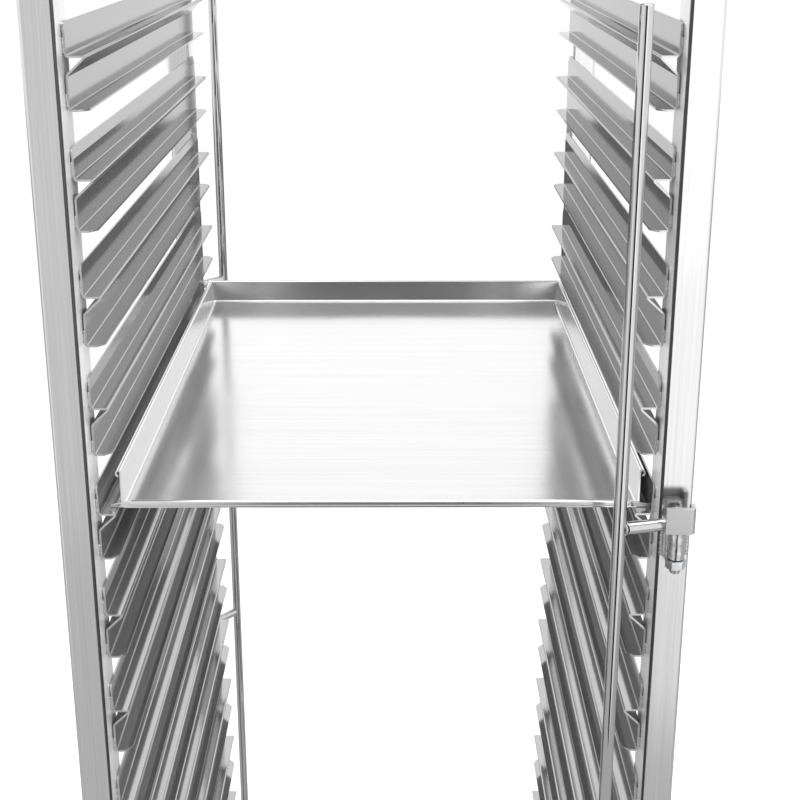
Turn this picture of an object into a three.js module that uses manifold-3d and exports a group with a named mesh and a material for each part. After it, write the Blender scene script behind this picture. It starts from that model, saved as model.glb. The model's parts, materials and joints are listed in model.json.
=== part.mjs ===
// Sheet pan rack for 400 x 600 mm baking trays: a stainless frame on four swivel castors,
// folded double runners on both sides, a swinging lock bar at each end and one sheet pan.
//
// Millimetres, +Z up. The loading end faces -Y and +X is to its right.
// The origin is on the floor, under the middle of the rack's bounding box.

import * as THREE from "three";
import { mergeVertices } from "three/addons/utils/BufferGeometryUtils.js";
import Module from "manifold-3d";

const wasm = await Module();
wasm.setup();

// ---------------------------------------------------------------- driving dimensions

// The tray and the folded double runners that carry it
const PAN_WIDTH = 400;
const PAN_LENGTH = 600;
const PAN_HEIGHT = 24;
const PAN_SHEET = 1.5;
const PAN_FLARE = 3.5; // how far each side wall leans out from its foot to its rim
const PAN_RIM = 4.5; // diameter of the rolled rim
const PAN_MOUTH_SLANT = 18; // the side walls' front ends lean back by this much
const PAN_MOUTH_INSET = 13; // the front hem stops this far short of each corner
const PAN_SETBACK = 11; // front edge behind the runners' front ends
const PAN_SIDE_OFFSET = 3.5; // the tray lies a little to the right between the runners
const PAN_MODULE = 9; // the runner module, counted from the bottom, whose upper ledge holds it

const RUNNER_CLEAR = 411; // between the left and right webs
const RUNNER_SHEET = 1.5;
const RUNNER_LENGTH = 630;
const RUNNER_SETBACK = 17; // ends behind the posts' outer faces
const LEDGE = 13; // how far a ledge reaches in from its web
const WEB_HEIGHT = 22;
const NOSE_HEIGHT = 3; // the doubled-back fold at the upper ledge's inner edge
const LEDGE_STEP = 35.7; // upper ledge above lower ledge, in one module
const MODULE_PITCH = 83;
const MODULE_COUNT = 14;
const WEB_CORNER = 4; // corner cut at the web's top ends
const LEDGE_CORNER = 6; // corner cut of the lower ledge, across
const LEDGE_CORNER_LONG = 8; // and along it

// The frame: rectangular tube
const POST_WIDTH = 24;
const POST_DEPTH = 38;
const TUBE_WALL = 1.5;
const TUBE_CORNER = 2.5;
const RAIL_HEIGHT = 38;
const FIRST_LEDGE = 40; // lowest ledge above the base frame
const HEAD_ROOM = 26; // top frame above the highest web
const GUSSET = 98; // corner plates that the castors bolt to
const GUSSET_SHEET = 4;
const PASSAGE = 12; // holes that join the frames' hollows to the posts' hollows

// The lock bars and their hinges
const ROD = 9.5;
const ARM_REACH = 45.5; // from the hinge bolt to the vertical rod
const BOLT_STANDOFF = 11; // bolt axis in front of the post's face
const FRONT_SWING = 14; // degrees open at rest
const REAR_SWING = 50;
const CATCH_TURN = 14; // the catch plate is turned back from the arm by this many degrees
const CATCH_WIDTH = 22;
const CATCH_HEIGHT = 20;
const CATCH_SHEET = 3.5;
const CATCH_RETURN = 11; // depth of the catch plate's folded side
const CATCH_DROP = 4.75; // the catch plate's lower edge under the arm's middle
const EYE = 15;
const BOLT = 8;
const BOLT_HOLE = 8.8;
const HEX_FLATS = 13;
const HEAD_HEIGHT = 3;
const WASHER = 14;
const WASHER_HEIGHT = 1.4;
const NUT_HEIGHT = 6.8;
const BOLT_TAIL = 4.6;
const BUSH = 12;
const BUSH_LENGTH = 23;
const LUG_WIDTH = 17;
const LUG_HEIGHT = 19;
const LUG_GAP = 0.3;
const HINGE_GAP = 0.5;
const UPPER_HINGE_LIFT = 4.6; // arm above the ledge that holds the pan
const HINGE_SPACING = 440;
const ROD_MARGIN = 12; // the rod stops this far short of the top and base frames

// The castors
const CASTOR_HEIGHT = 156;
const CASTOR_INSET = 47; // swivel axis in from the frame's outer faces
const TRAIL = 38;
const WHEEL_RADIUS = 62.5;
const WHEEL_SIDES = 24;
const AXLE = 12;
const AXLE_BORE = 13.4;
const AXLE_FLATS = 18;
const FORK_INSIDE = 39; // between the fork's legs
const FORK_SHEET = 3;
const CROWN_RADIUS = 30;
const CROWN_TOP = 139.5;
const CROWN_BOTTOM = 134;
const RACE_BOTTOM = 140;
const KINGPIN = 12;
const KINGPIN_HOLE = 14;
const PLATE_LENGTH = 95;
const PLATE_BREADTH = 80;
const PLATE_SHEET = 4;
const PEDAL_PIVOT_Y = 60; // ahead of the swivel axis, towards the wheel
const PEDAL_PIVOT_Z = 131;
const PEDAL_PIN = 6;
const PEDAL_PIN_HOLE = 7;
const EAR_RADIUS = 8;
const PEDAL_REACH = 66;
const PEDAL_WIDTH = 34;
const PEDAL_SHEET = 4;

const ROUND = 16; // sides of a plain round bar

// ---------------------------------------------------------------- worked-out dimensions

const WEB_FACE = RUNNER_CLEAR / 2;
const POST_INNER = WEB_FACE + RUNNER_SHEET;
const FRAME_WIDTH = 2 * (POST_INNER + POST_WIDTH);
const FRAME_DEPTH = RUNNER_LENGTH + 2 * RUNNER_SETBACK;
const POST_X = POST_INNER + POST_WIDTH / 2;
const POST_Y = FRAME_DEPTH / 2 - POST_DEPTH / 2;
const BASE_BOTTOM = CASTOR_HEIGHT + GUSSET_SHEET;
const BASE_TOP = BASE_BOTTOM + RAIL_HEIGHT;
const LEVEL_ZERO = BASE_TOP + FIRST_LEDGE;
const TOP_BOTTOM = LEVEL_ZERO + (MODULE_COUNT - 1) * MODULE_PITCH + LEDGE_STEP + WEB_HEIGHT + HEAD_ROOM;
const PAN_LEDGE = LEVEL_ZERO + PAN_MODULE * MODULE_PITCH + LEDGE_STEP;
const HINGE_LEVELS = [PAN_LEDGE + UPPER_HINGE_LIFT - HINGE_SPACING, PAN_LEDGE + UPPER_HINGE_LIFT];
const HINGE_Y = FRAME_DEPTH / 2 + BOLT_STANDOFF;
const ROD_BOTTOM = BASE_TOP + ROD_MARGIN;
const ROD_TOP = TOP_BOTTOM - ROD_MARGIN;
const AXLE_Z = WHEEL_RADIUS * Math.cos(Math.PI / WHEEL_SIDES);
const CASTOR_X = FRAME_WIDTH / 2 - CASTOR_INSET;
const CASTOR_Y = FRAME_DEPTH / 2 - CASTOR_INSET;
const PEDAL_TIP = CASTOR_Y + PEDAL_PIVOT_Y + PEDAL_REACH;
const REAR_REACH = Math.max(
  CASTOR_Y + TRAIL + AXLE_Z,
  HINGE_Y + ARM_REACH * Math.sin(THREE.MathUtils.degToRad(REAR_SWING)) + ROD / 2,
);

// ---------------------------------------------------------------- materials

const metal = (color, roughness) => new THREE.MeshStandardMaterial({ color, roughness, metalness: 1 });

const SATIN_STEEL = metal(0xb9bbbd, 0.38);
const SHEET_STEEL = metal(0xa4a6a9, 0.24);
const POLISHED_ROD = metal(0xc9cbce, 0.12);
const ZINC = metal(0xb4b7b9, 0.3);
const PAN_ALUMINIUM = metal(0xd7d9db, 0.3);
const GREY_TYRE = new THREE.MeshStandardMaterial({ color: 0x6d7073, roughness: 0.75, metalness: 0 });
const BLACK_PEDAL = new THREE.MeshStandardMaterial({ color: 0x2f3236, roughness: 0.55, metalness: 0 });

// ---------------------------------------------------------------- solids

/** A closed three.js geometry as a manifold solid. */
function solid(geometry) {
  const bare = geometry.clone();
  bare.deleteAttribute("normal");
  bare.deleteAttribute("uv");
  const merged = mergeVertices(bare, 1e-4);
  return new wasm.Manifold(new wasm.Mesh({
    numProp: 3,
    vertProperties: new Float32Array(merged.attributes.position.array),
    triVerts: new Uint32Array(merged.index.array),
  }));
}

/** A manifold solid as a flat-shaded three.js geometry. */
function geometryOf(body) {
  const mesh = body.getMesh();
  const geometry = new THREE.BufferGeometry();
  geometry.setAttribute("position", new THREE.BufferAttribute(new Float32Array(mesh.vertProperties), 3));
  geometry.setIndex(new THREE.BufferAttribute(new Uint32Array(mesh.triVerts), 1));
  const flat = geometry.toNonIndexed();
  flat.computeVertexNormals();
  return flat;
}

/** All the solids of a list joined into one. */
function joined(bodies) {
  return bodies.reduce((whole, body) => whole.add(body));
}

/** A block between two opposite corners. */
function block([x0, y0, z0], [x1, y1, z1]) {
  const geometry = new THREE.BoxGeometry(x1 - x0, y1 - y0, z1 - z0);
  geometry.translate((x0 + x1) / 2, (y0 + y1) / 2, (z0 + z1) / 2);
  return solid(geometry);
}

/** An upright round or many-sided bar, standing at (x, y) from z0 to z1. */
function upright(x, y, z0, z1, diameter, sides = ROUND) {
  const geometry = new THREE.CylinderGeometry(diameter / 2, diameter / 2, z1 - z0, sides);
  geometry.rotateX(Math.PI / 2);
  geometry.translate(x, y, (z0 + z1) / 2);
  return solid(geometry);
}

/** A bar along X from x0 to x1 at (y, z). */
function crossbar(x0, x1, y, z, diameter, sides = ROUND) {
  const geometry = new THREE.CylinderGeometry(diameter / 2, diameter / 2, x1 - x0, sides);
  geometry.rotateZ(Math.PI / 2);
  geometry.translate((x0 + x1) / 2, y, z);
  return solid(geometry);
}

/** A bar along Y from y0 to y1 at (x, z). */
function longbar(x, y0, y1, z, diameter, sides = ROUND) {
  const geometry = new THREE.CylinderGeometry(diameter / 2, diameter / 2, y1 - y0, sides);
  geometry.translate(x, (y0 + y1) / 2, z);
  return solid(geometry);
}

/** A hexagon prism with two flats facing +Y and -Y. */
function hexagon(x, y, z0, z1, flats) {
  const geometry = new THREE.CylinderGeometry(1, 1, z1 - z0, 6);
  const radius = flats / 2 / Math.cos(Math.PI / 6);
  geometry.scale(radius, 1, radius);
  geometry.rotateX(Math.PI / 2);
  geometry.rotateZ(Math.PI / 6);
  geometry.translate(x, y, (z0 + z1) / 2);
  return solid(geometry);
}

/** An outline of [x, y] points as a closed THREE.Shape. */
function outline(points) {
  return new THREE.Shape(points.map(([x, y]) => new THREE.Vector2(x, y)));
}

/** A rectangle with rounded corners, centred, as a THREE.Shape or a THREE.Path. */
function roundedRectangle(width, height, radius, kind = THREE.Shape) {
  const x = width / 2;
  const y = height / 2;
  const path = new kind();
  path.moveTo(-x + radius, -y);
  path.lineTo(x - radius, -y);
  path.absarc(x - radius, -y + radius, radius, -Math.PI / 2, 0, false);
  path.lineTo(x, y - radius);
  path.absarc(x - radius, y - radius, radius, 0, Math.PI / 2, false);
  path.lineTo(-x + radius, y);
  path.absarc(-x + radius, y - radius, radius, Math.PI / 2, Math.PI, false);
  path.lineTo(-x, -y + radius);
  path.absarc(-x + radius, -y + radius, radius, Math.PI, Math.PI * 1.5, false);
  return path;
}

/** A flat shape drawn in X and Y, raised from z0 to z1. */
function raised(shape, z0, z1, curveSegments = 3) {
  const geometry = new THREE.ExtrudeGeometry(shape, { depth: z1 - z0, bevelEnabled: false, curveSegments });
  geometry.translate(0, 0, z0);
  return geometry;
}

/** An outline of [x, z] points run along Y from y0 to y1. */
function alongY(points, y0, y1) {
  const geometry = raised(outline(points), 0, y1 - y0);
  geometry.rotateX(Math.PI / 2);
  geometry.translate(0, y1, 0);
  return solid(geometry);
}

/** An outline of [y, z] points run along X from x0 to x1. */
function alongX(points, x0, x1) {
  const geometry = raised(outline(points), 0, x1 - x0);
  geometry.rotateX(Math.PI / 2);
  geometry.rotateZ(Math.PI / 2);
  geometry.translate(x0, 0, 0);
  return solid(geometry);
}

// ---------------------------------------------------------------- frame

/** One corner post: rectangular tube with rounded corners, open at both ends. */
function postGeometry() {
  const shape = roundedRectangle(POST_WIDTH, POST_DEPTH, TUBE_CORNER);
  const bore = TUBE_CORNER - TUBE_WALL;
  const hollow = [POST_WIDTH - 2 * TUBE_WALL, POST_DEPTH - 2 * TUBE_WALL];
  shape.holes.push(roundedRectangle(...hollow, bore, THREE.Path));
  return raised(shape, BASE_TOP, TOP_BOTTOM);
}

/** A rectangle of tube in plan, hollow inside: side rails as wide as the posts, cross rails the same. */
function tubeRing(z0, z1) {
  const ring = (shrink) => {
    const outer = roundedRectangle(FRAME_WIDTH - 2 * shrink, FRAME_DEPTH - 2 * shrink, TUBE_CORNER - shrink);
    const inner = 2 * (POST_WIDTH - shrink);
    outer.holes.push(roundedRectangle(FRAME_WIDTH - inner, FRAME_DEPTH - inner, 1, THREE.Path));
    return solid(raised(outer, z0 + shrink, z1 - shrink));
  };
  return ring(0).subtract(ring(TUBE_WALL));
}

/** Holes through a rail's wall under or over each post, where the hollows meet. */
function passages(z) {
  const half = PASSAGE / 2;
  const holes = [];
  for (const x of [-POST_X, POST_X]) {
    for (const y of [-POST_Y, POST_Y]) {
      holes.push(block([x - half, y - half, z - TUBE_WALL - 1], [x + half, y + half, z + TUBE_WALL + 1]));
    }
  }
  return joined(holes);
}

/** The base frame: a ring of tube with a corner plate under each corner for a castor. */
function baseFrameGeometry() {
  const gussets = [];
  for (const sx of [-1, 1]) {
    for (const sy of [-1, 1]) {
      const plate = raised(roundedRectangle(GUSSET, GUSSET, TUBE_CORNER), CASTOR_HEIGHT, BASE_BOTTOM);
      plate.translate(sx * (FRAME_WIDTH - GUSSET) / 2, sy * (FRAME_DEPTH - GUSSET) / 2, 0);
      gussets.push(solid(plate));
    }
  }
  const ring = tubeRing(BASE_BOTTOM, BASE_TOP).subtract(passages(BASE_TOP));
  return geometryOf(ring.add(joined(gussets)));
}

/** The top frame: the same ring of tube, closing the posts' upper ends. */
function topFrameGeometry() {
  return geometryOf(tubeRing(TOP_BOTTOM, TOP_BOTTOM + RAIL_HEIGHT).subtract(passages(TOP_BOTTOM)));
}

// ---------------------------------------------------------------- runners

/**
 * The folded profile of a double runner, as [across, up] points measured out from the web's inner face and up
 * from the upper ledge. From the top: web, ledge, doubled-back nose, slope out to the web line, web, ledge.
 */
function runnerProfile() {
  const t = RUNNER_SHEET;
  const slopeTop = [-LEDGE + NOSE_HEIGHT / 4, -NOSE_HEIGHT];
  const slopeFoot = [0, WEB_HEIGHT - LEDGE_STEP];
  const run = slopeFoot[0] - slopeTop[0];
  const drop = slopeTop[1] - slopeFoot[1];
  const length = Math.hypot(run, drop);
  const backTop = [slopeTop[0] + (t * drop) / length, slopeTop[1] + (t * run) / length];
  const creaseX = backTop[0] - ((-t - backTop[1]) * run) / drop;
  const backFootZ = backTop[1] - ((t - backTop[0]) * drop) / run;
  return [
    [0, WEB_HEIGHT], [0, 0], [-LEDGE, 0], [-LEDGE, -NOSE_HEIGHT * 0.8], slopeTop, slopeFoot,
    [0, -LEDGE_STEP], [-LEDGE, -LEDGE_STEP], [-LEDGE, -LEDGE_STEP - t], [t, -LEDGE_STEP - t],
    [t, backFootZ], [creaseX, -t], [t, -t], [t, WEB_HEIGHT],
  ];
}

/** A double runner for one side (+1 right, -1 left), with its upper ledge at z = 0 and its corners cut. */
function runnerGeometry(side) {
  const end = RUNNER_LENGTH / 2;
  const points = runnerProfile().map(([x, z]) => [side * (WEB_FACE + x), z]);
  let body = alongY(points, -end, end);
  const over = 1;
  for (const y of [-end, end]) {
    const inwards = -Math.sign(y);
    const webCut = [
      [y - inwards * over, WEB_HEIGHT + over],
      [y + inwards * (WEB_CORNER + over), WEB_HEIGHT + over],
      [y - inwards * over, WEB_HEIGHT - WEB_CORNER - over],
    ];
    const across = side * (WEB_FACE + RUNNER_SHEET + over);
    body = body.subtract(alongX(webCut, Math.min(0, across), Math.max(0, across)));
    const tip = side * (WEB_FACE - LEDGE);
    const ledgeCut = [
      [tip - side * over, y - inwards * over],
      [tip + side * LEDGE_CORNER, y - inwards * over],
      [tip - side * over, y + inwards * (LEDGE_CORNER_LONG + over)],
    ];
    const knife = raised(outline(ledgeCut), -LEDGE_STEP - RUNNER_SHEET - over, -LEDGE_STEP + over);
    body = body.subtract(solid(knife));
  }
  return geometryOf(body);
}

// ---------------------------------------------------------------- sheet pan

/** The sheet pan, its underside at z = 0 and its mouth at y = 0: three leaning walls with a rolled rim. */
function panGeometry() {
  const t = PAN_SHEET;
  const rimZ = PAN_HEIGHT - PAN_RIM / 2;
  const rimX = PAN_WIDTH / 2 - PAN_RIM / 2;
  const foot = rimX - PAN_FLARE;
  const back = PAN_LENGTH - PAN_RIM / 2;
  const backFoot = back - PAN_FLARE;
  const floor = block([-foot, 0, 0], [foot, backFoot, t]);
  const sideWall = (side) => alongY([
    [side * (foot - t), 0], [side * foot, 0], [side * (rimX + t / 2), rimZ], [side * (rimX - t / 2), rimZ],
  ], 0, backFoot);
  const backWall = alongX([
    [backFoot - t, 0], [backFoot, 0], [back + t / 2, rimZ], [back - t / 2, rimZ],
  ], -foot, foot);
  const corner = (side) => {
    const shape = [
      [side * foot, backFoot - t], [side * foot, backFoot], [side * rimX, back], [side * rimX, backFoot - t],
    ];
    return solid(raised(outline(shape), rimZ - PAN_RIM / 2, rimZ));
  };
  const mouth = [[-1, t + 1], [PAN_MOUTH_SLANT, PAN_HEIGHT + 1], [-1, PAN_HEIGHT + 1]];
  const mouthCut = alongX(mouth, -PAN_WIDTH, PAN_WIDTH);
  const walls = joined([
    floor, sideWall(-1), sideWall(1), backWall, corner(-1), corner(1),
    longbar(-rimX, 0, back, rimZ, PAN_RIM, 8),
    longbar(rimX, 0, back, rimZ, PAN_RIM, 8),
    crossbar(-rimX - PAN_RIM / 2, rimX + PAN_RIM / 2, back, rimZ, PAN_RIM, 8),
  ]).subtract(mouthCut);
  const hem = PAN_RIM;
  const hemX = PAN_WIDTH / 2 - PAN_MOUTH_INSET;
  return geometryOf(walls.add(crossbar(-hemX, hemX, hem / 2, hem / 2, hem, 8)));
}

// ---------------------------------------------------------------- lock bars

/** The catch plate in front of an eye: a square plate folded back along its right side. */
function catchPlate(z) {
  const face = -BOLT_STANDOFF;
  const half = CATCH_WIDTH / 2;
  const t = CATCH_SHEET;
  const bend = t / 2;
  const section = [
    [-half, face], [half - bend, face], [half, face + bend], [half, face + CATCH_RETURN],
    [half - t, face + CATCH_RETURN], [half - t, face + t], [-half, face + t],
  ];
  const plate = raised(outline(section), z - CATCH_DROP, z - CATCH_DROP + CATCH_HEIGHT);
  plate.rotateZ(THREE.MathUtils.degToRad(-CATCH_TURN));
  return solid(plate);
}

/** A lock bar about its hinge axis, closed: a rod on two arms, each with a drilled eye and a catch plate. */
function lockBarGeometry() {
  let body = upright(-ARM_REACH, 0, ROD_BOTTOM, ROD_TOP, ROD);
  for (const z of HINGE_LEVELS) {
    body = body.add(crossbar(-ARM_REACH, 0, 0, z, ROD));
    body = body.add(upright(0, 0, z - ROD / 2, z + ROD / 2, EYE));
    body = body.add(catchPlate(z));
  }
  const drill = upright(0, 0, ROD_BOTTOM, ROD_TOP, BOLT_HOLE);
  return geometryOf(body.subtract(drill));
}

/** A hinge lug about the hinge axis: a bush on a small plate that is welded to the post's face. */
function lugGeometry(z) {
  const top = z - ROD / 2 - HINGE_GAP;
  const bush = upright(0, 0, top - BUSH_LENGTH, top, BUSH);
  const plateTop = top - 4;
  const plate = block(
    [-LUG_WIDTH / 2, BUSH / 2 - 1, plateTop - LUG_HEIGHT],
    [LUG_WIDTH / 2, BOLT_STANDOFF - LUG_GAP, plateTop],
  );
  const drill = upright(0, 0, top - BUSH_LENGTH - 1, top + 1, BOLT_HOLE);
  return geometryOf(bush.add(plate).subtract(drill));
}

/** A hinge bolt with its washer over the eye and its nut under the bush, about the hinge axis. */
function boltGeometry(z) {
  const seat = z + ROD / 2 + LUG_GAP;
  const head = seat + WASHER_HEIGHT;
  const nut = z - ROD / 2 - HINGE_GAP - BUSH_LENGTH - LUG_GAP;
  return geometryOf(joined([
    upright(0, 0, seat, head, WASHER),
    hexagon(0, 0, head, head + HEAD_HEIGHT, HEX_FLATS),
    upright(0, 0, nut - NUT_HEIGHT - BOLT_TAIL, head, BOLT),
    hexagon(0, 0, nut - NUT_HEIGHT, nut, HEX_FLATS),
  ]));
}

// ---------------------------------------------------------------- castors

/** A castor's top plate with its ball race and kingpin, about the swivel axis. */
function castorPlateGeometry() {
  const sheet = roundedRectangle(PLATE_BREADTH, PLATE_LENGTH, 8);
  const plate = solid(raised(sheet, CASTOR_HEIGHT - PLATE_SHEET, CASTOR_HEIGHT));
  return geometryOf(joined([
    plate,
    upright(0, 0, RACE_BOTTOM, CASTOR_HEIGHT - PLATE_SHEET, 2 * CROWN_RADIUS, 24),
    upright(0, 0, CROWN_BOTTOM - 1, RACE_BOTTOM, KINGPIN),
    hexagon(0, 0, CROWN_BOTTOM - 6.5, CROWN_BOTTOM - 0.5, AXLE_FLATS),
  ]));
}

/** One leg of a castor's fork from the side, as [y, z] points: broad at the crown, round at the axle. */
function forkLegOutline() {
  const eye = 17;
  const points = [[-20, CROWN_TOP], [-24, CROWN_BOTTOM - 8]];
  for (let step = 0; step <= 6; step += 1) {
    const angle = Math.PI * (1.12 + (0.98 * step) / 6);
    points.push([TRAIL + eye * Math.cos(angle), AXLE_Z + eye * Math.sin(angle)]);
  }
  points.push([34, CROWN_BOTTOM - 8], [28, CROWN_TOP]);
  return points;
}

/** An ear that holds the brake pedal's pin, from the side, as [y, z] points: out of the leg and round the pin. */
function forkEarOutline() {
  const points = [[20, PEDAL_PIVOT_Z - EAR_RADIUS]];
  for (let step = 0; step <= 8; step += 1) {
    const angle = Math.PI * (step / 8 - 0.5);
    points.push([
      PEDAL_PIVOT_Y + EAR_RADIUS * Math.cos(angle),
      PEDAL_PIVOT_Z + EAR_RADIUS * Math.sin(angle),
    ]);
  }
  points.push([20, PEDAL_PIVOT_Z + EAR_RADIUS]);
  return points;
}

/**
 * A castor's swivel fork with its axle bolt, about the swivel axis; the wheel trails towards +Y.
 * A braked one has two ears with the holes that the pedal's pin turns in.
 */
function forkGeometry(braked) {
  const inner = FORK_INSIDE / 2;
  const outer = inner + FORK_SHEET;
  const crown = upright(0, 0, CROWN_BOTTOM, CROWN_TOP, 2 * CROWN_RADIUS, 24);
  const bridge = block([-outer, -20, CROWN_BOTTOM], [outer, 28, CROWN_TOP]);
  const hole = upright(0, 0, CROWN_BOTTOM - 1, CROWN_TOP + 1, KINGPIN_HOLE);
  const legs = [-1, 1].map((side) => alongX(
    forkLegOutline(),
    Math.min(side * inner, side * outer),
    Math.max(side * inner, side * outer),
  ));
  const axle = crossbar(-outer - 5, outer + 5, TRAIL, AXLE_Z, AXLE, 12);
  const headAt = (x) => crossbar(x, x + 5.5, TRAIL, AXLE_Z, AXLE_FLATS / Math.cos(Math.PI / 6), 6);
  const fork = joined([crown, bridge]).subtract(hole).add(joined([
    ...legs, axle, headAt(-outer - 5.5), headAt(outer),
  ]));
  if (!braked) return geometryOf(fork);
  const ears = [[-outer, -inner], [inner, outer]].map(([from, to]) => alongX(forkEarOutline(), from, to));
  const pinHole = crossbar(-outer - 1, outer + 1, PEDAL_PIVOT_Y, PEDAL_PIVOT_Z, PEDAL_PIN_HOLE, 12);
  return geometryOf(fork.add(joined(ears).subtract(pinHole)));
}

/** A castor wheel on its axle line: hub, thin web, rim and tyre in one turned section, with a bore. */
function wheelGeometry() {
  const half = [
    [AXLE_BORE / 2, 18], [14, 18], [18, 8], [44, 6], [48, 14.5], [57, 16], [WHEEL_RADIUS, 10],
  ];
  const mirrored = half.map(([r, x]) => [r, -x]).reverse();
  const loop = [...mirrored, ...half].reverse();
  const closed = [...loop, loop[0]].map(([r, x]) => new THREE.Vector2(r, x));
  const geometry = new THREE.LatheGeometry(closed, WHEEL_SIDES, Math.PI / WHEEL_SIDES);
  geometry.rotateZ(Math.PI / 2);
  return geometryOf(solid(geometry));
}

/** A brake pedal about its pivot: a pin through the fork's ears, a barrel between them and a tread plate. */
function pedalGeometry() {
  const half = FORK_INSIDE / 2 - 0.5;
  const pinHalf = FORK_INSIDE / 2 + FORK_SHEET + 1.5;
  const pin = crossbar(-pinHalf, pinHalf, 0, 0, PEDAL_PIN, 12);
  const tread = alongX([
    [2, 2], [PEDAL_REACH * 0.45, 6], [PEDAL_REACH * 0.8, 2], [PEDAL_REACH, -8],
    [PEDAL_REACH, -8 + PEDAL_SHEET], [PEDAL_REACH * 0.8, 2 + PEDAL_SHEET],
    [PEDAL_REACH * 0.45, 6 + PEDAL_SHEET], [2, 2 + PEDAL_SHEET],
  ], -PEDAL_WIDTH / 2, PEDAL_WIDTH / 2);
  return geometryOf(joined([crossbar(-half, half, 0, 0, 9, 12), pin]).add(tread));
}

// ---------------------------------------------------------------- assembly

const rack = new THREE.Group();
rack.position.y = (PEDAL_TIP - REAR_REACH) / 2;

/** Adds a named mesh to a group. */
function place(parent, name, geometry, material, x = 0, y = 0, z = 0) {
  const mesh = new THREE.Mesh(geometry, material);
  mesh.name = name;
  mesh.position.set(x, y, z);
  parent.add(mesh);
}

const SIDES = [["left", -1], ["right", 1]];
const ENDS = [["front", -1], ["rear", 1]];

for (const [end, sy] of ENDS) {
  for (const [side, sx] of SIDES) {
    place(rack, `post_${end}_${side}`, postGeometry(), SATIN_STEEL, sx * POST_X, sy * POST_Y, 0);
  }
}
place(rack, "base_frame", baseFrameGeometry(), SATIN_STEEL);
place(rack, "top_frame", topFrameGeometry(), SATIN_STEEL);

for (const [side, sx] of SIDES) {
  const geometry = runnerGeometry(sx);
  for (let module = 0; module < MODULE_COUNT; module += 1) {
    const number = String(module + 1).padStart(2, "0");
    const z = LEVEL_ZERO + module * MODULE_PITCH + LEDGE_STEP;
    place(rack, `runner_${side}_${number}`, geometry, SHEET_STEEL, 0, 0, z);
  }
}

const panFront = -RUNNER_LENGTH / 2 + PAN_SETBACK;
place(rack, "sheet_pan", panGeometry(), PAN_ALUMINIUM, PAN_SIDE_OFFSET, panFront, PAN_LEDGE);

for (const [end, turn, swing] of [["front", 0, FRONT_SWING], ["rear", 180, REAR_SWING]]) {
  const fixed = new THREE.Group();
  fixed.rotation.z = THREE.MathUtils.degToRad(turn);
  const hinge = new THREE.Group();
  hinge.position.set(POST_X, -HINGE_Y, 0);
  const bar = new THREE.Group();
  bar.rotation.z = THREE.MathUtils.degToRad(swing);
  place(bar, `lock_bar_${end}`, lockBarGeometry(), POLISHED_ROD);
  for (const [index, level] of [["lower", HINGE_LEVELS[0]], ["upper", HINGE_LEVELS[1]]]) {
    place(hinge, `hinge_lug_${end}_${index}`, lugGeometry(level), SATIN_STEEL);
    place(hinge, `hinge_bolt_${end}_${index}`, boltGeometry(level), ZINC);
  }
  hinge.add(bar);
  fixed.add(hinge);
  rack.add(fixed);
}

for (const [end, sy] of ENDS) {
  for (const [side, sx] of SIDES) {
    const castor = new THREE.Group();
    castor.position.set(sx * CASTOR_X, sy * CASTOR_Y, 0);
    castor.rotation.z = sy < 0 ? Math.PI : 0;
    place(castor, `castor_plate_${end}_${side}`, castorPlateGeometry(), ZINC);
    place(castor, `castor_fork_${end}_${side}`, forkGeometry(sy < 0), ZINC);
    place(castor, `castor_wheel_${end}_${side}`, wheelGeometry(), GREY_TYRE, 0, TRAIL, AXLE_Z);
    if (sy < 0) {
      place(castor, `brake_pedal_${side}`, pedalGeometry(), BLACK_PEDAL, 0, PEDAL_PIVOT_Y, PEDAL_PIVOT_Z);
    }
    rack.add(castor);
  }
}

export default rack;
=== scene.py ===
"""Looks of a wheeled sheet pan rack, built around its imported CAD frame.

Metres, +Z up; the loading end faces -Y. Lengths in the classes are millimetres and are turned into
metres where a mesh is made. Every piece stands where the frame's own nodes and joints say.
"""

import json
import logging
import math
from collections.abc import Callable, Iterable, Sequence
from dataclasses import dataclass, replace
from enum import Enum

import bmesh
import bpy
from mathutils import Matrix, Vector


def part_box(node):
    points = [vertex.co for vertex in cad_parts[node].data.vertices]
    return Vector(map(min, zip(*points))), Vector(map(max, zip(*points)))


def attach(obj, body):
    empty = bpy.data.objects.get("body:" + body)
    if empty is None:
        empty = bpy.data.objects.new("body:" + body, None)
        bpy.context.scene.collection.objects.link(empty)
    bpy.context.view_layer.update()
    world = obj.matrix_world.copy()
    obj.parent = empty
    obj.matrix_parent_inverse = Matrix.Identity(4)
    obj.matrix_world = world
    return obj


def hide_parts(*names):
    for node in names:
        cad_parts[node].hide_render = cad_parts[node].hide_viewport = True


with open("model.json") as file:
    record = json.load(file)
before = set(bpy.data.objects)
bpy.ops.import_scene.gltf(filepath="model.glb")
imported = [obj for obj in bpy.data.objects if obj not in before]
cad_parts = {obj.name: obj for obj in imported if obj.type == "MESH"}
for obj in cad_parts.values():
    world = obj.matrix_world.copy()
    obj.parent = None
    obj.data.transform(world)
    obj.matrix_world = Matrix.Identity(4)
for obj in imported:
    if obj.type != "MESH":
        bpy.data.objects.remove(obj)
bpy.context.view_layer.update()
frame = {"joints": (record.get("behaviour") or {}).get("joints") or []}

MM = 0.001
NEAR_ZERO = 1e-4

Point2 = tuple[float, float]
Point3 = tuple[float, float, float]
Colour = tuple[float, float, float, float]

log = logging.getLogger("sheet_pan_rack")
logging.basicConfig(level=logging.INFO, format="%(name)s: %(message)s")

ENDS = (("front", -1), ("rear", 1))
SIDES = (("left", -1), ("right", 1))
SIDEWAYS = Matrix(((0, 0, 1, 0), (1, 0, 0, 0), (0, 1, 0, 0), (0, 0, 0, 1)))  # an outline's X, Y to +Y, +Z


# ---------------------------------------------------------------------------------------- outlines


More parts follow.
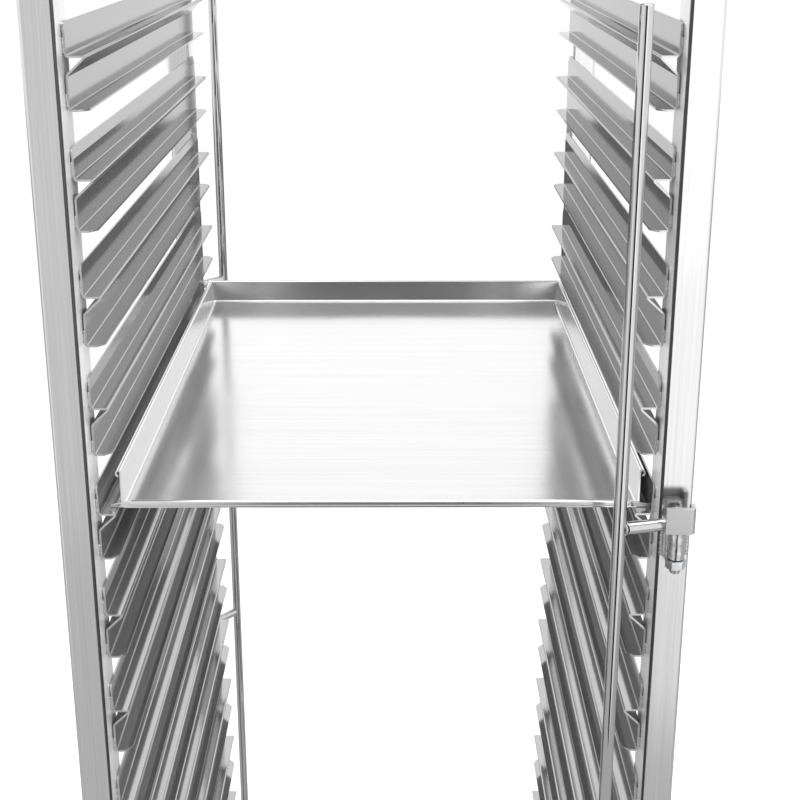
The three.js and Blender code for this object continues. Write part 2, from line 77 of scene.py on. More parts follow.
def bent_line(corners: Sequence[Point2], radii: Sequence[float],
              step: float = 15.0) -> list[tuple[Vector, Vector]]:
    """Rounds every inner corner of a line, as a sheet or a bar is bent.

    Args:
        corners: the line's corner points.
        radii: bend radius at each inner corner.
        step: degrees of bend between two points of an arc.

    Returns:
        Points along the line, each with its unit tangent.
    """
    points = [Vector(corner) for corner in corners]
    start = (points[1] - points[0]).normalized()
    samples = [(points[0], start)]
    for before, corner, after, radius in zip(points, points[1:], points[2:], radii):
        arrive = (corner - before).normalized()
        leave = (after - corner).normalized()
        turn = math.atan2(arrive.x * leave.y - arrive.y * leave.x, arrive.dot(leave))
        reach = radius * math.tan(abs(turn) / 2)
        side = math.copysign(1.0, turn)
        begin = corner - arrive * reach
        centre = begin + Vector((-arrive.y, arrive.x)) * side * radius
        count = max(1, math.ceil(abs(math.degrees(turn)) / step))
        for index in range(count + 1):
            angle = turn * index / count
            turned = Matrix.Rotation(angle, 2)
            samples.append((centre + turned @ (begin - centre), turned @ arrive))
    samples.append((points[-1], (points[-1] - points[-2]).normalized()))
    return samples


def sheet_outline(corners: Sequence[Point2], thickness: float, radii: Sequence[float],
                  step: float = 15.0) -> list[Point2]:
    """Outline of a bent sheet, seen on its edge.

    Args:
        corners: corner points of the sheet's middle line.
        thickness: the sheet's thickness.
        radii: bend radius of the middle line at each inner corner.
        step: degrees of bend between two points.

    Returns:
        The closed outline: down its left side and back along its right side.
    """
    left, right = [], []
    for point, tangent in bent_line(corners, radii, step):
        offset = Vector((-tangent.y, tangent.x)) * thickness / 2
        left.append(tuple(point + offset))
        right.append(tuple(point - offset))
    return left + right[::-1]


def round_rectangle(width: float, height: float, radius: float, segments: int = 6) -> list[Point2]:
    """Outline of a centred rectangle with round corners, counter-clockwise."""
    outline = []
    for quarter, (sx, sy) in enumerate(((1, 1), (-1, 1), (-1, -1), (1, -1))):
        for index in range(segments + 1):
            angle = math.pi / 2 * (quarter + index / segments)
            x = sx * (width / 2 - radius) + radius * math.cos(angle)
            y = sy * (height / 2 - radius) + radius * math.sin(angle)
            outline.append((x, y))
    return outline


# ---------------------------------------------------------------------------------------- mesh building


class Shell:
    """A mesh under construction. Lengths come in as millimetres and its vertices are metres."""

    def __init__(self) -> None:
        """Starts with nothing in it."""
        self.mesh = bmesh.new()
        self.finish = 0

    def loft(self, rings: Sequence[Sequence[Vector]], looped: bool = False, capped: bool = True) -> None:
        """Joins rings of points with a skin.

        Args:
            rings: rings of the same number of points, in millimetres.
            looped: the last ring joins the first one.
            capped: the first and the last ring are filled, unless the loft is looped.
        """
        rows = [[self.mesh.verts.new(Vector(point) * MM) for point in ring] for ring in rings]
        faces = []
        pairs = list(zip(rows, rows[1:])) + ([(rows[-1], rows[0])] if looped else [])
        for first, second in pairs:
            for index in range(len(first)):
                following = (index + 1) % len(first)
                faces.append((first[index], first[following], second[following], second[index]))
        if capped and not looped:
            faces += [tuple(reversed(rows[0])), tuple(rows[-1])]
        for corners in faces:
            self.mesh.faces.new(corners).material_index = self.finish

    def prism(self, outline: Sequence[Point2], place: Matrix, length: float) -> None:
        """Raises an outline, drawn in the place's own X and Y, by a length along its Z."""
        self.loft([[place @ Vector((x, y, z)) for x, y in outline] for z in (0.0, length)])

    def turned(self, profile: Sequence[Point2], place: Matrix, sides: int = 32,
               closed: bool = False) -> None:
        """Turns a profile of (radius, height) about the place's own Z axis.

        Args:
            profile: from axis to axis, or a ring section where closed.
            place: where the turning axis stands.
            sides: points in a full turn.
            closed: the profile's last point joins its first one, as in a ring.
        """
        rings = []
        for index in range(sides):
            angle = 2 * math.pi * index / sides
            turned = place @ Matrix.Rotation(angle, 4, "Z")
            rings.append([turned @ Vector((max(reach, NEAR_ZERO), 0, rise)) for reach, rise in profile])
        if closed:
            self.loft(rings, looped=True)
            return
        across = [list(ring) for ring in zip(*rings)]
        self.loft(across)

    def bar(self, start: Vector, end: Vector, radius: float, sides: int = 32,
            tip: float = 0.6) -> None:
        """A round bar from start to end; tip is the rounding of its ends."""
        length = (end - start).length
        place = Matrix.Translation(start) @ (end - start).to_track_quat("Z", "Y").to_matrix().to_4x4()
        steps = [math.pi / 2 * index / 4 for index in range(5)]
        foot = [(radius - tip * (1 - math.sin(a)), tip * (1 - math.cos(a))) for a in steps]
        head = [(r, length - z) for r, z in reversed(foot)]
        self.turned([*foot, *head], place, sides)

    def sweep(self, path: Sequence[Vector], section: Sequence[Point2]) -> None:
        """Carries a section, whose second axis stays upright, round a flat closed path with mitres."""
        rings = []
        for index, point in enumerate(path):
            before, after = path[index - 1], path[(index + 1) % len(path)]
            arrive, leave = (point - before).normalized(), (after - point).normalized()
            along = (arrive + leave).normalized()
            side = Vector((along.y, -along.x, 0)) / along.dot(arrive)
            rings.append([point + side * a + Vector((0, 0, b)) for a, b in section])
        self.loft(rings, looped=True)

    def finish_where(self, finish: int, test: Callable[[Vector, Vector], bool]) -> None:
        """Gives another finish to the faces whose centre and normal pass a test."""
        self.mesh.normal_update()
        for face in self.mesh.faces:
            if test(face.calc_center_median(), face.normal):
                face.material_index = finish

    def soften(self, width: float, angle: float = 35.0, segments: int = 2) -> None:
        """Bevels the edges that are sharper than an angle, by a width in millimetres."""
        self.mesh.normal_update()
        edges = [edge for edge in self.mesh.edges
                 if len(edge.link_faces) == 2 and edge.calc_face_angle(0) > math.radians(angle)]
        bmesh.ops.bevel(self.mesh, geom=edges, offset=width * MM, segments=segments, profile=0.5,
                        affect="EDGES", clamp_overlap=True)

    def piece(self, name: str, finishes: Iterable[bpy.types.Material], place: Matrix | None = None,
              smooth: float = 32.0) -> bpy.types.Object:
        """Makes the finished object.

        Args:
            name: the piece's name.
            finishes: its materials, in the order of the finish numbers.
            place: moves the mesh, in metres, to where it stands.
            smooth: edges sharper than this many degrees stay sharp.

        Returns:
            The object, at the origin with its place in its mesh.
        """
        if place is not None:
            bmesh.ops.transform(self.mesh, matrix=place, verts=self.mesh.verts)
        bmesh.ops.recalc_face_normals(self.mesh, faces=self.mesh.faces)
        data = bpy.data.meshes.new(name)
        self.mesh.to_mesh(data)
        self.mesh.free()
        for finish in finishes:
            data.materials.append(finish)
        data.shade_smooth()
        data.set_sharp_from_angle(angle=math.radians(smooth))
        made = bpy.data.objects.new(name, data)
        bpy.context.scene.collection.objects.link(made)
        return shade_flats(made)


def keep_result(piece: bpy.types.Object) -> bpy.types.Object:
    """Makes what the piece's modifiers give its plain mesh, and removes them."""
    bpy.context.view_layer.update()
    evaluated = piece.evaluated_get(bpy.context.evaluated_depsgraph_get())
    result = bpy.data.meshes.new_from_object(evaluated)
    piece.modifiers.clear()
    spent = piece.data
    piece.data = result
    bpy.data.meshes.remove(spent)
    return piece


def shade_flats(piece: bpy.types.Object) -> bpy.types.Object:
    """Shades the large faces flat, so that only the rounded corners between them look round."""
    weigh = piece.modifiers.new("large faces lead", "WEIGHTED_NORMAL")
    weigh.mode = "FACE_AREA"
    weigh.weight = 90
    weigh.keep_sharp = True
    return keep_result(piece)


def at(x: float, y: float, z: float) -> Matrix:
    """A place in millimetres, unturned."""
    return Matrix.Translation((x, y, z))


def facing(axis: str) -> Matrix:
    """Turns a place's own Z axis to +X, -X, +Y or -Y."""
    turns = {"+X": ("Y", 90), "-X": ("Y", -90), "+Y": ("X", -90), "-Y": ("X", 90)}
    letter, degrees = turns[axis]
    return Matrix.Rotation(math.radians(degrees), 4, letter)


def millimetre_box(node: str) -> tuple[Vector, Vector]:
    """A CAD node's lowest and highest corner, in millimetres."""
    low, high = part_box(node)
    return low / MM, high / MM


def joint_point(name: str) -> Vector:
    """A joint's point on its axis, in millimetres."""
    joint = next(j for j in frame["joints"] if j["name"] == name)
    return Vector(joint["pos_m"]) / MM


def mount(piece: bpy.types.Object, body: str, nodes: Sequence[str] = ()) -> None:
    """Puts a piece on its body and hides the CAD nodes that it stands for."""
    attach(piece, body)
    if nodes:
        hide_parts(*nodes)
    log.info("%s rides on %s, %d faces", piece.name, body, len(piece.data.polygons))


# ---------------------------------------------------------------------------------------- finishes


class Grain(Enum):
    """Which way a metal's brush lines run, as the pattern's density along X, Y and Z, per metre."""

    ALONG_X = (4.0, 520.0, 520.0)
    ALONG_Y = (420.0, 4.0, 420.0)
    ALONG_Z = (640.0, 640.0, 5.0)
    CLOUDED = (160.0, 160.0, 160.0)


@dataclass(frozen=True)
class MetalFinish:
    """A bare metal: colour, gloss, brush lines, handling marks and the sheet's slight waves.

    Depths are shares of a tenth of a millimetre for the grain and millimetres for the waves; sizes are
    patterns per metre. Edge tint is how bright the metal stays where it is seen along its surface.
    """

    name: str
    light: Colour
    dark: Colour
    roughness: float
    grain: Grain
    grain_depth: float = 0.12
    rough_spread: float = 0.08
    smudge_size: float = 14.0
    wave_size: float = 7.0
    wave_depth: float = 0.0
    edge_tint: float = 1.0
    metallic: float = 1.0

    def material(self) -> bpy.types.Material:
        """Builds the finish's node tree and returns the material."""
        made = bpy.data.materials.new(self.name)
        made.use_nodes = True
        nodes, links = made.node_tree.nodes, made.node_tree.links
        nodes.clear()

        output = nodes.new("ShaderNodeOutputMaterial")
        output.label = "surface"
        output.location = (900, 0)
        metal = nodes.new("ShaderNodeBsdfPrincipled")
        metal.label = "bare metal"
        metal.location = (600, 0)
        metal.inputs["Metallic"].default_value = self.metallic
        metal.inputs["Specular Tint"].default_value = grey(self.edge_tint)
        links.new(metal.outputs["BSDF"], output.inputs["Surface"])
        place = nodes.new("ShaderNodeTexCoord")
        place.label = "the piece's own place"
        place.location = (-1100, 0)

        lines_frame = nodes.new("NodeFrame")
        lines_frame.label = "brush lines"
        stretch = nodes.new("ShaderNodeMapping")
        stretch.label = "lines long one way, fine across"
        stretch.location = (-900, 300)
        stretch.parent = lines_frame
        stretch.inputs["Scale"].default_value = self.grain.value
        lines = nodes.new("ShaderNodeTexNoise")
        lines.label = "brush lines"
        lines.location = (-700, 300)
        lines.parent = lines_frame
        lines.inputs["Scale"].default_value = 1.0
        lines.inputs["Detail"].default_value = 3.0
        lines.inputs["Roughness"].default_value = 0.65
        links.new(place.outputs["Object"], stretch.inputs["Vector"])
        links.new(stretch.outputs["Vector"], lines.inputs["Vector"])

        marks_frame = nodes.new("NodeFrame")
        marks_frame.label = "handling marks"
        marks = nodes.new("ShaderNodeTexNoise")
        marks.label = "wiped patches"
        marks.location = (-700, 0)
        marks.parent = marks_frame
        marks.inputs["Scale"].default_value = self.smudge_size
        marks.inputs["Detail"].default_value = 4.0
        marks.inputs["Distortion"].default_value = 0.15
        links.new(place.outputs["Object"], marks.inputs["Vector"])
        marks_ramp = nodes.new("ShaderNodeMapRange")
        marks_ramp.label = "how much of a patch shows"
        marks_ramp.location = (-480, 0)
        marks_ramp.parent = marks_frame
        marks_ramp.interpolation_type = "SMOOTHSTEP"
        marks_ramp.inputs["From Min"].default_value = 0.3
        marks_ramp.inputs["From Max"].default_value = 0.75
        links.new(marks.outputs["Fac"], marks_ramp.inputs["Value"])

        gloss_frame = nodes.new("NodeFrame")
        gloss_frame.label = "gloss"
        both = nodes.new("ShaderNodeMath")
        both.label = "lines and patches together"
        both.location = (-260, 100)
        both.parent = gloss_frame
        both.operation = "MULTIPLY_ADD"
        both.inputs[1].default_value = 0.5
        links.new(lines.outputs["Fac"], both.inputs[0])
        links.new(marks_ramp.outputs["Result"], both.inputs[2])
        gloss = nodes.new("ShaderNodeMapRange")
        gloss.label = "roughness over the surface"
        gloss.location = (-60, 100)
        gloss.parent = gloss_frame
        gloss.inputs["From Max"].default_value = 1.5
        gloss.inputs["To Min"].default_value = max(0.02, self.roughness - self.rough_spread / 2)
        gloss.inputs["To Max"].default_value = self.roughness + self.rough_spread / 2
        links.new(both.outputs["Value"], gloss.inputs["Value"])
        links.new(gloss.outputs["Result"], metal.inputs["Roughness"])

        colour_frame = nodes.new("NodeFrame")
        colour_frame.label = "colour"
        tone = nodes.new("ShaderNodeMix")
        tone.label = "lighter and darker metal"
        tone.location = (200, 200)
        tone.parent = colour_frame
        tone.data_type = "RGBA"
        tone.inputs["A"].default_value = self.light
        tone.inputs["B"].default_value = self.dark
        links.new(lines.outputs["Fac"], tone.inputs["Factor"])
        links.new(tone.outputs["Result"], metal.inputs["Base Color"])

        relief_frame = nodes.new("NodeFrame")
        relief_frame.label = "relief"
        waves = nodes.new("ShaderNodeTexNoise")
        waves.label = "slow waves of the sheet"
        waves.location = (-480, -300)
        waves.parent = relief_frame
        waves.inputs["Scale"].default_value = self.wave_size
        waves.inputs["Detail"].default_value = 1.0
        links.new(place.outputs["Object"], waves.inputs["Vector"])
        wave_bump = nodes.new("ShaderNodeBump")
        wave_bump.label = "waves in the reflections"
        wave_bump.location = (-60, -300)
        wave_bump.parent = relief_frame
        wave_bump.inputs["Strength"].default_value = 1.0
        wave_bump.inputs["Distance"].default_value = self.wave_depth * MM
        links.new(waves.outputs["Fac"], wave_bump.inputs["Height"])
        line_bump = nodes.new("ShaderNodeBump")
        line_bump.label = "relief of the lines"
        line_bump.location = (200, -300)
        line_bump.parent = relief_frame
        line_bump.inputs["Strength"].default_value = self.grain_depth
        line_bump.inputs["Distance"].default_value = 0.1 * MM
        links.new(lines.outputs["Fac"], line_bump.inputs["Height"])
        links.new(wave_bump.outputs["Normal"], line_bump.inputs["Normal"])
        links.new(line_bump.outputs["Normal"], metal.inputs["Normal"])
        return made


@dataclass(frozen=True)
class MouldedFinish:
    """A moulded rubber or plastic: colour with a faint mottle, a fine skin and scuffs."""

    name: str
    light: Colour
    dark: Colour
    roughness: float
    skin_size: float = 900.0
    skin_depth: float = 0.15

    def material(self) -> bpy.types.Material:
        """Builds the finish's node tree and returns the material."""
        made = bpy.data.materials.new(self.name)
        made.use_nodes = True
        nodes, links = made.node_tree.nodes, made.node_tree.links
        nodes.clear()

        output = nodes.new("ShaderNodeOutputMaterial")
        output.label = "surface"
        output.location = (700, 0)
        body = nodes.new("ShaderNodeBsdfPrincipled")
        body.label = "moulded body"
        body.location = (400, 0)
        links.new(body.outputs["BSDF"], output.inputs["Surface"])
        place = nodes.new("ShaderNodeTexCoord")
        place.label = "the piece's own place"
        place.location = (-800, 0)

        scuff_frame = nodes.new("NodeFrame")
        scuff_frame.label = "mottle and scuffs"
        scuffs = nodes.new("ShaderNodeTexNoise")
        scuffs.label = "scuffed patches"
        scuffs.location = (-560, 200)
        scuffs.parent = scuff_frame
        scuffs.inputs["Scale"].default_value = 60.0
        scuffs.inputs["Detail"].default_value = 5.0
        links.new(place.outputs["Object"], scuffs.inputs["Vector"])
        tone = nodes.new("ShaderNodeMix")
        tone.label = "clean and scuffed colour"
        tone.location = (100, 200)
        tone.parent = scuff_frame
        tone.data_type = "RGBA"
        tone.inputs["A"].default_value = self.dark
        tone.inputs["B"].default_value = self.light
        links.new(scuffs.outputs["Fac"], tone.inputs["Factor"])
        links.new(tone.outputs["Result"], body.inputs["Base Color"])
        gloss = nodes.new("ShaderNodeMapRange")
        gloss.label = "scuffs are duller"
        gloss.location = (100, 0)
        gloss.parent = scuff_frame
        gloss.inputs["To Min"].default_value = self.roughness - 0.08
        gloss.inputs["To Max"].default_value = min(1.0, self.roughness + 0.1)
        links.new(scuffs.outputs["Fac"], gloss.inputs["Value"])
        links.new(gloss.outputs["Result"], body.inputs["Roughness"])

        skin_frame = nodes.new("NodeFrame")
        skin_frame.label = "moulded skin"
        skin = nodes.new("ShaderNodeTexVoronoi")
        skin.label = "fine pores"
        skin.location = (-560, -250)
        skin.parent = skin_frame
        skin.inputs["Scale"].default_value = self.skin_size
        links.new(place.outputs["Object"], skin.inputs["Vector"])
        relief = nodes.new("ShaderNodeBump")
        relief.label = "relief of the skin"
        relief.location = (100, -250)
        relief.parent = skin_frame
        relief.inputs["Strength"].default_value = self.skin_depth
        relief.inputs["Distance"].default_value = 0.2 * MM
        links.new(skin.outputs["Distance"], relief.inputs["Height"])
        links.new(relief.outputs["Normal"], body.inputs["Normal"])
        return made


def grey(value: float, warmth: float = 0.0) -> Colour:
    """A grey, slightly warm where warmth is above 0 and slightly cool below it."""
    return (value * (1 + warmth), value, value * (1 - warmth), 1.0)


class Finishes:
    """The materials of the rack, one for each finish."""

    def __init__(self) -> None:
        """Makes every material once."""
        satin = MetalFinish("satin_steel_upright", grey(0.67), grey(0.5), 0.18, Grain.ALONG_Z, 0.08, 0.06)
        self.post_steel = satin.material()
        self.cross_steel = replace(satin, name="satin_steel_crosswise", grain=Grain.ALONG_X).material()
        self.side_steel = replace(satin, name="satin_steel_lengthwise", grain=Grain.ALONG_Y).material()
        self.runner_steel = MetalFinish(
            "folded_sheet_steel", grey(0.51), grey(0.48), 0.12, Grain.ALONG_Y, 0.002, 0.02,
            wave_size=6.0, wave_depth=0.3, edge_tint=0.6, metallic=0.86).material()
        # painted light: a paler copy of the post steel, put on the front posts' inner flanks as a lit
        # strip
        self.flank_painted_light = MetalFinish(
            "satin_steel_flank_painted_light", grey(0.85), grey(0.7), 0.35, Grain.ALONG_Z, 0.06, 0.08,
            metallic=0.5).material()
        # painted shadow: a near-black copy of the post steel, put on the front posts' inner front corners
        # as a dark shade line
        self.corner_painted_shadow = MetalFinish(
            "painted_shadow_corner_steel", grey(0.1), grey(0.04), 0.35, Grain.ALONG_Z, 0.1, 0.1,
            edge_tint=0.3).material()
        self.rod_steel = MetalFinish(
            "polished_rod_steel", grey(0.52), grey(0.48), 0.06, Grain.ALONG_Z, 0.02, 0.04,
            wave_size=18.0, wave_depth=0.15).material()
        self.plate_steel = MetalFinish(
            "brushed_plate_steel", grey(0.52), grey(0.4), 0.3, Grain.ALONG_X, 0.12, 0.12).material()
        self.cast_steel = MetalFinish(
            "hinge_bush_steel", grey(0.62), grey(0.4), 0.22, Grain.CLOUDED, 0.5, 0.15,
            smudge_size=90.0, wave_size=160.0, wave_depth=0.5).material()
        self.weld_metal = MetalFinish(
            "weld_metal", grey(0.58, 0.01), grey(0.3, 0.01), 0.3, Grain.CLOUDED, 0.6, 0.2,
            smudge_size=200.0, wave_size=300.0, wave_depth=0.4).material()
        self.zinc = MetalFinish(
            "zinc_plate", grey(0.66, -0.02), grey(0.5, -0.02), 0.24, Grain.CLOUDED, 0.12, 0.12,
            smudge_size=60.0).material()
        self.aluminium = MetalFinish(
            "pan_aluminium", grey(0.73), grey(0.58), 0.17, Grain.ALONG_X, 0.1, 0.08,
            smudge_size=6.0, wave_size=5.0, wave_depth=1.0, metallic=0.86).material()
        self.tyre = MouldedFinish(
            "grey_tyre_rubber", grey(0.17, -0.02), grey(0.12, -0.02), 0.62).material()
        self.hub = MouldedFinish(
            "wheel_centre_nylon", grey(0.42, -0.02), grey(0.36, -0.02), 0.42, 1400.0).material()
        self.pedal = MouldedFinish(
            "black_pedal_nylon", grey(0.035), grey(0.018), 0.45, 1200.0, 0.25).material()


# ---------------------------------------------------------------------------------------- node trees


def new_tree(name: str, numbers: dict[str, float | int]) -> bpy.types.NodeTree:
    """Starts a tree with its sockets.

    Args:
        name: the tree's name.
        numbers: its named sizes, seeds and counts with their defaults; a whole number stays whole.

    Returns:
        A tree with Geometry and Finish inputs, the numbers between them, and a Geometry output.
    """
    tree = bpy.data.node_groups.new(name, "GeometryNodeTree")
    face = tree.interface
    face.new_socket("Geometry", in_out="INPUT", socket_type="NodeSocketGeometry")
    for label, value in numbers.items():
        kind = "NodeSocketInt" if isinstance(value, int) else "NodeSocketFloat"
        face.new_socket(label, in_out="INPUT", socket_type=kind).default_value = value
    face.new_socket("Finish", in_out="INPUT", socket_type="NodeSocketMaterial")
    face.new_socket("Geometry", in_out="OUTPUT", socket_type="NodeSocketGeometry")
    return tree


def run_tree(piece: bpy.types.Object, tree: bpy.types.NodeTree,
             values: dict[str, object]) -> bpy.types.Object:
    """Runs a geometry tree over a piece and keeps the result as its plain mesh.

    Args:
        piece: the object whose mesh goes in.
        tree: the geometry node tree.
        values: what each named input of the tree is set to.

    Returns:
        The same object with its new mesh and no modifier.
    """
    modifier = piece.modifiers.new("tree", "NODES")
    modifier.node_group = tree
    for item in tree.interface.items_tree:
        if item.item_type == "SOCKET" and item.in_out == "INPUT" and item.name in values:
            modifier[item.identifier] = values[item.name]
    return keep_result(piece)


def stack_tree() -> bpy.types.NodeTree:
    """A tree that repeats its geometry upwards."""
    tree = new_tree("stack_upwards", {"Count": 14, "Pitch": 0.083})
    nodes, links = tree.nodes, tree.links
    given = nodes.new("NodeGroupInput")
    given.location = (-600, 0)
    rise = nodes.new("ShaderNodeCombineXYZ")
    rise.label = "from one to the next"
    rise.location = (-400, -160)
    places = nodes.new("GeometryNodeMeshLine")
    places.label = "where each one stands"
    places.location = (-200, -100)
    repeat = nodes.new("GeometryNodeInstanceOnPoints")
    repeat.label = "one at each place"
    repeat.location = (0, 0)
    real = nodes.new("GeometryNodeRealizeInstances")
    real.location = (200, 0)
    finish = nodes.new("GeometryNodeSetMaterial")
    finish.location = (400, 0)
    result = nodes.new("NodeGroupOutput")
    result.location = (600, 0)
    links.new(given.outputs["Pitch"], rise.inputs["Z"])
    links.new(given.outputs["Count"], places.inputs["Count"])
    links.new(rise.outputs["Vector"], places.inputs["Offset"])
    links.new(places.outputs["Mesh"], repeat.inputs["Points"])
    links.new(given.outputs["Geometry"], repeat.inputs["Instance"])
    links.new(repeat.outputs["Instances"], real.inputs["Geometry"])
    links.new(real.outputs["Geometry"], finish.inputs["Geometry"])
    links.new(given.outputs["Finish"], finish.inputs["Material"])
    links.new(finish.outputs["Geometry"], result.inputs["Geometry"])
    return tree


def weld_tree() -> bpy.types.NodeTree:
    """A tree that lays a rippled weld bead along edges."""
    tree = new_tree("weld_bead", {"Spacing": 0.0012, "Radius": 0.0016, "Seed": 3})
    nodes, links = tree.nodes, tree.links
    given = nodes.new("NodeGroupInput")
    given.location = (-900, 0)
    paths = nodes.new("GeometryNodeMeshToCurve")
    paths.label = "edges as paths"
    paths.location = (-700, 100)
    steps = nodes.new("GeometryNodeResampleCurve")
    steps.label = "one ripple a step"
    steps.location = (-500, 100)
    steps.mode = "LENGTH"
    blob = nodes.new("GeometryNodeMeshIcoSphere")
    blob.label = "one ripple"
    blob.location = (-500, -120)
    blob.inputs["Subdivisions"].default_value = 2
    sizes = nodes.new("FunctionNodeRandomValue")
    sizes.label = "uneven ripples"
    sizes.location = (-500, -300)
    sizes.data_type = "FLOAT_VECTOR"
    sizes.inputs["Min"].default_value = (0.8, 0.75, 0.8)
    sizes.inputs["Max"].default_value = (1.15, 1.1, 1.2)
    repeat = nodes.new("GeometryNodeInstanceOnPoints")
    repeat.label = "ripples along the path"
    repeat.location = (-200, 0)
    real = nodes.new("GeometryNodeRealizeInstances")
    real.location = (0, 0)
    round_off = nodes.new("GeometryNodeSetShadeSmooth")
    round_off.location = (200, 0)
    finish = nodes.new("GeometryNodeSetMaterial")
    finish.location = (400, 0)
    result = nodes.new("NodeGroupOutput")
    result.location = (600, 0)
    links.new(given.outputs["Geometry"], paths.inputs["Mesh"])
    links.new(paths.outputs["Curve"], steps.inputs["Curve"])
    links.new(given.outputs["Spacing"], steps.inputs["Length"])
    links.new(given.outputs["Radius"], blob.inputs["Radius"])
    links.new(given.outputs["Seed"], sizes.inputs["Seed"])
    links.new(steps.outputs["Curve"], repeat.inputs["Points"])
    links.new(blob.outputs["Mesh"], repeat.inputs["Instance"])
    links.new(sizes.outputs["Value"], repeat.inputs["Scale"])
    links.new(repeat.outputs["Instances"], real.inputs["Geometry"])
    links.new(real.outputs["Geometry"], round_off.inputs["Geometry"])
    links.new(round_off.outputs["Geometry"], finish.inputs["Geometry"])
    links.new(given.outputs["Finish"], finish.inputs["Material"])
    links.new(finish.outputs["Geometry"], result.inputs["Geometry"])
    return tree


def screw_tree() -> bpy.types.NodeTree:
    """A tree that sets a hexagon bolt head on a washer at each point."""
    tree = new_tree("hexagon_bolts", {"Corner Radius": 0.0087, "Washer Radius": 0.0095, "Height": 0.006})
    nodes, links = tree.nodes, tree.links
    given = nodes.new("NodeGroupInput")
    given.location = (-900, 0)
    head = nodes.new("GeometryNodeMeshCylinder")
    head.label = "hexagon head"
    head.location = (-600, 160)
    head.inputs["Vertices"].default_value = 6
    washer = nodes.new("GeometryNodeMeshCylinder")
    washer.label = "washer"
    washer.location = (-600, -160)
    washer.inputs["Vertices"].default_value = 28
    washer.inputs["Depth"].default_value = 0.0032
    both = nodes.new("GeometryNodeJoinGeometry")
    both.label = "bolt on its washer"
    both.location = (-350, 0)
    repeat = nodes.new("GeometryNodeInstanceOnPoints")
    repeat.label = "one at each hole"
    repeat.location = (-150, 0)
    real = nodes.new("GeometryNodeRealizeInstances")
    real.location = (50, 0)
    finish = nodes.new("GeometryNodeSetMaterial")
    finish.location = (250, 0)
    result = nodes.new("NodeGroupOutput")
    result.location = (450, 0)
    links.new(given.outputs["Corner Radius"], head.inputs["Radius"])
    links.new(given.outputs["Height"], head.inputs["Depth"])
    links.new(given.outputs["Washer Radius"], washer.inputs["Radius"])
    links.new(head.outputs["Mesh"], both.inputs["Geometry"])
    links.new(washer.outputs["Mesh"], both.inputs["Geometry"])
    links.new(given.outputs["Geometry"], repeat.inputs["Points"])
    links.new(both.outputs["Geometry"], repeat.inputs["Instance"])
    links.new(repeat.outputs["Instances"], real.inputs["Geometry"])
    links.new(real.outputs["Geometry"], finish.inputs["Geometry"])
    links.new(given.outputs["Finish"], finish.inputs["Material"])
    links.new(finish.outputs["Geometry"], result.inputs["Geometry"])
    return tree


def path_object(name: str, paths: Sequence[Sequence[Vector]]) -> bpy.types.Object:
    """An object of bare points and edges, in millimetres: what a geometry tree follows."""
    points, edges = [], []
    for path in paths:
        first = len(points)
        points += [tuple(Vector(point) * MM) for point in path]
        edges += [(first + index, first + index + 1) for index in range(len(path) - 1)]
    data = bpy.data.meshes.new(name)
    data.from_pydata(points, edges, [])
    made = bpy.data.objects.new(name, data)
    bpy.context.scene.collection.objects.link(made)
    return made


class Trees:
    """The geometry trees, built once."""

    ripple_step = 0.75  # from one ripple of a bead to the next, as a share of its radius

    def __init__(self) -> None:
        """Builds each tree."""
        self.stack = stack_tree()
        self.weld = weld_tree()
        self.screws = screw_tree()

    def bead(self, name: str, paths: Sequence[Sequence[Vector]], radius: float,
             finish: bpy.types.Material, seed: int = 3) -> bpy.types.Object:
        """A weld bead of a radius in millimetres along paths in millimetres."""
        values = {"Spacing": radius * self.ripple_step * MM, "Radius": radius * MM, "Seed": seed,
                  "Finish": finish}
        return run_tree(path_object(name, paths), self.weld, values)


# ---------------------------------------------------------------------------------------- frame


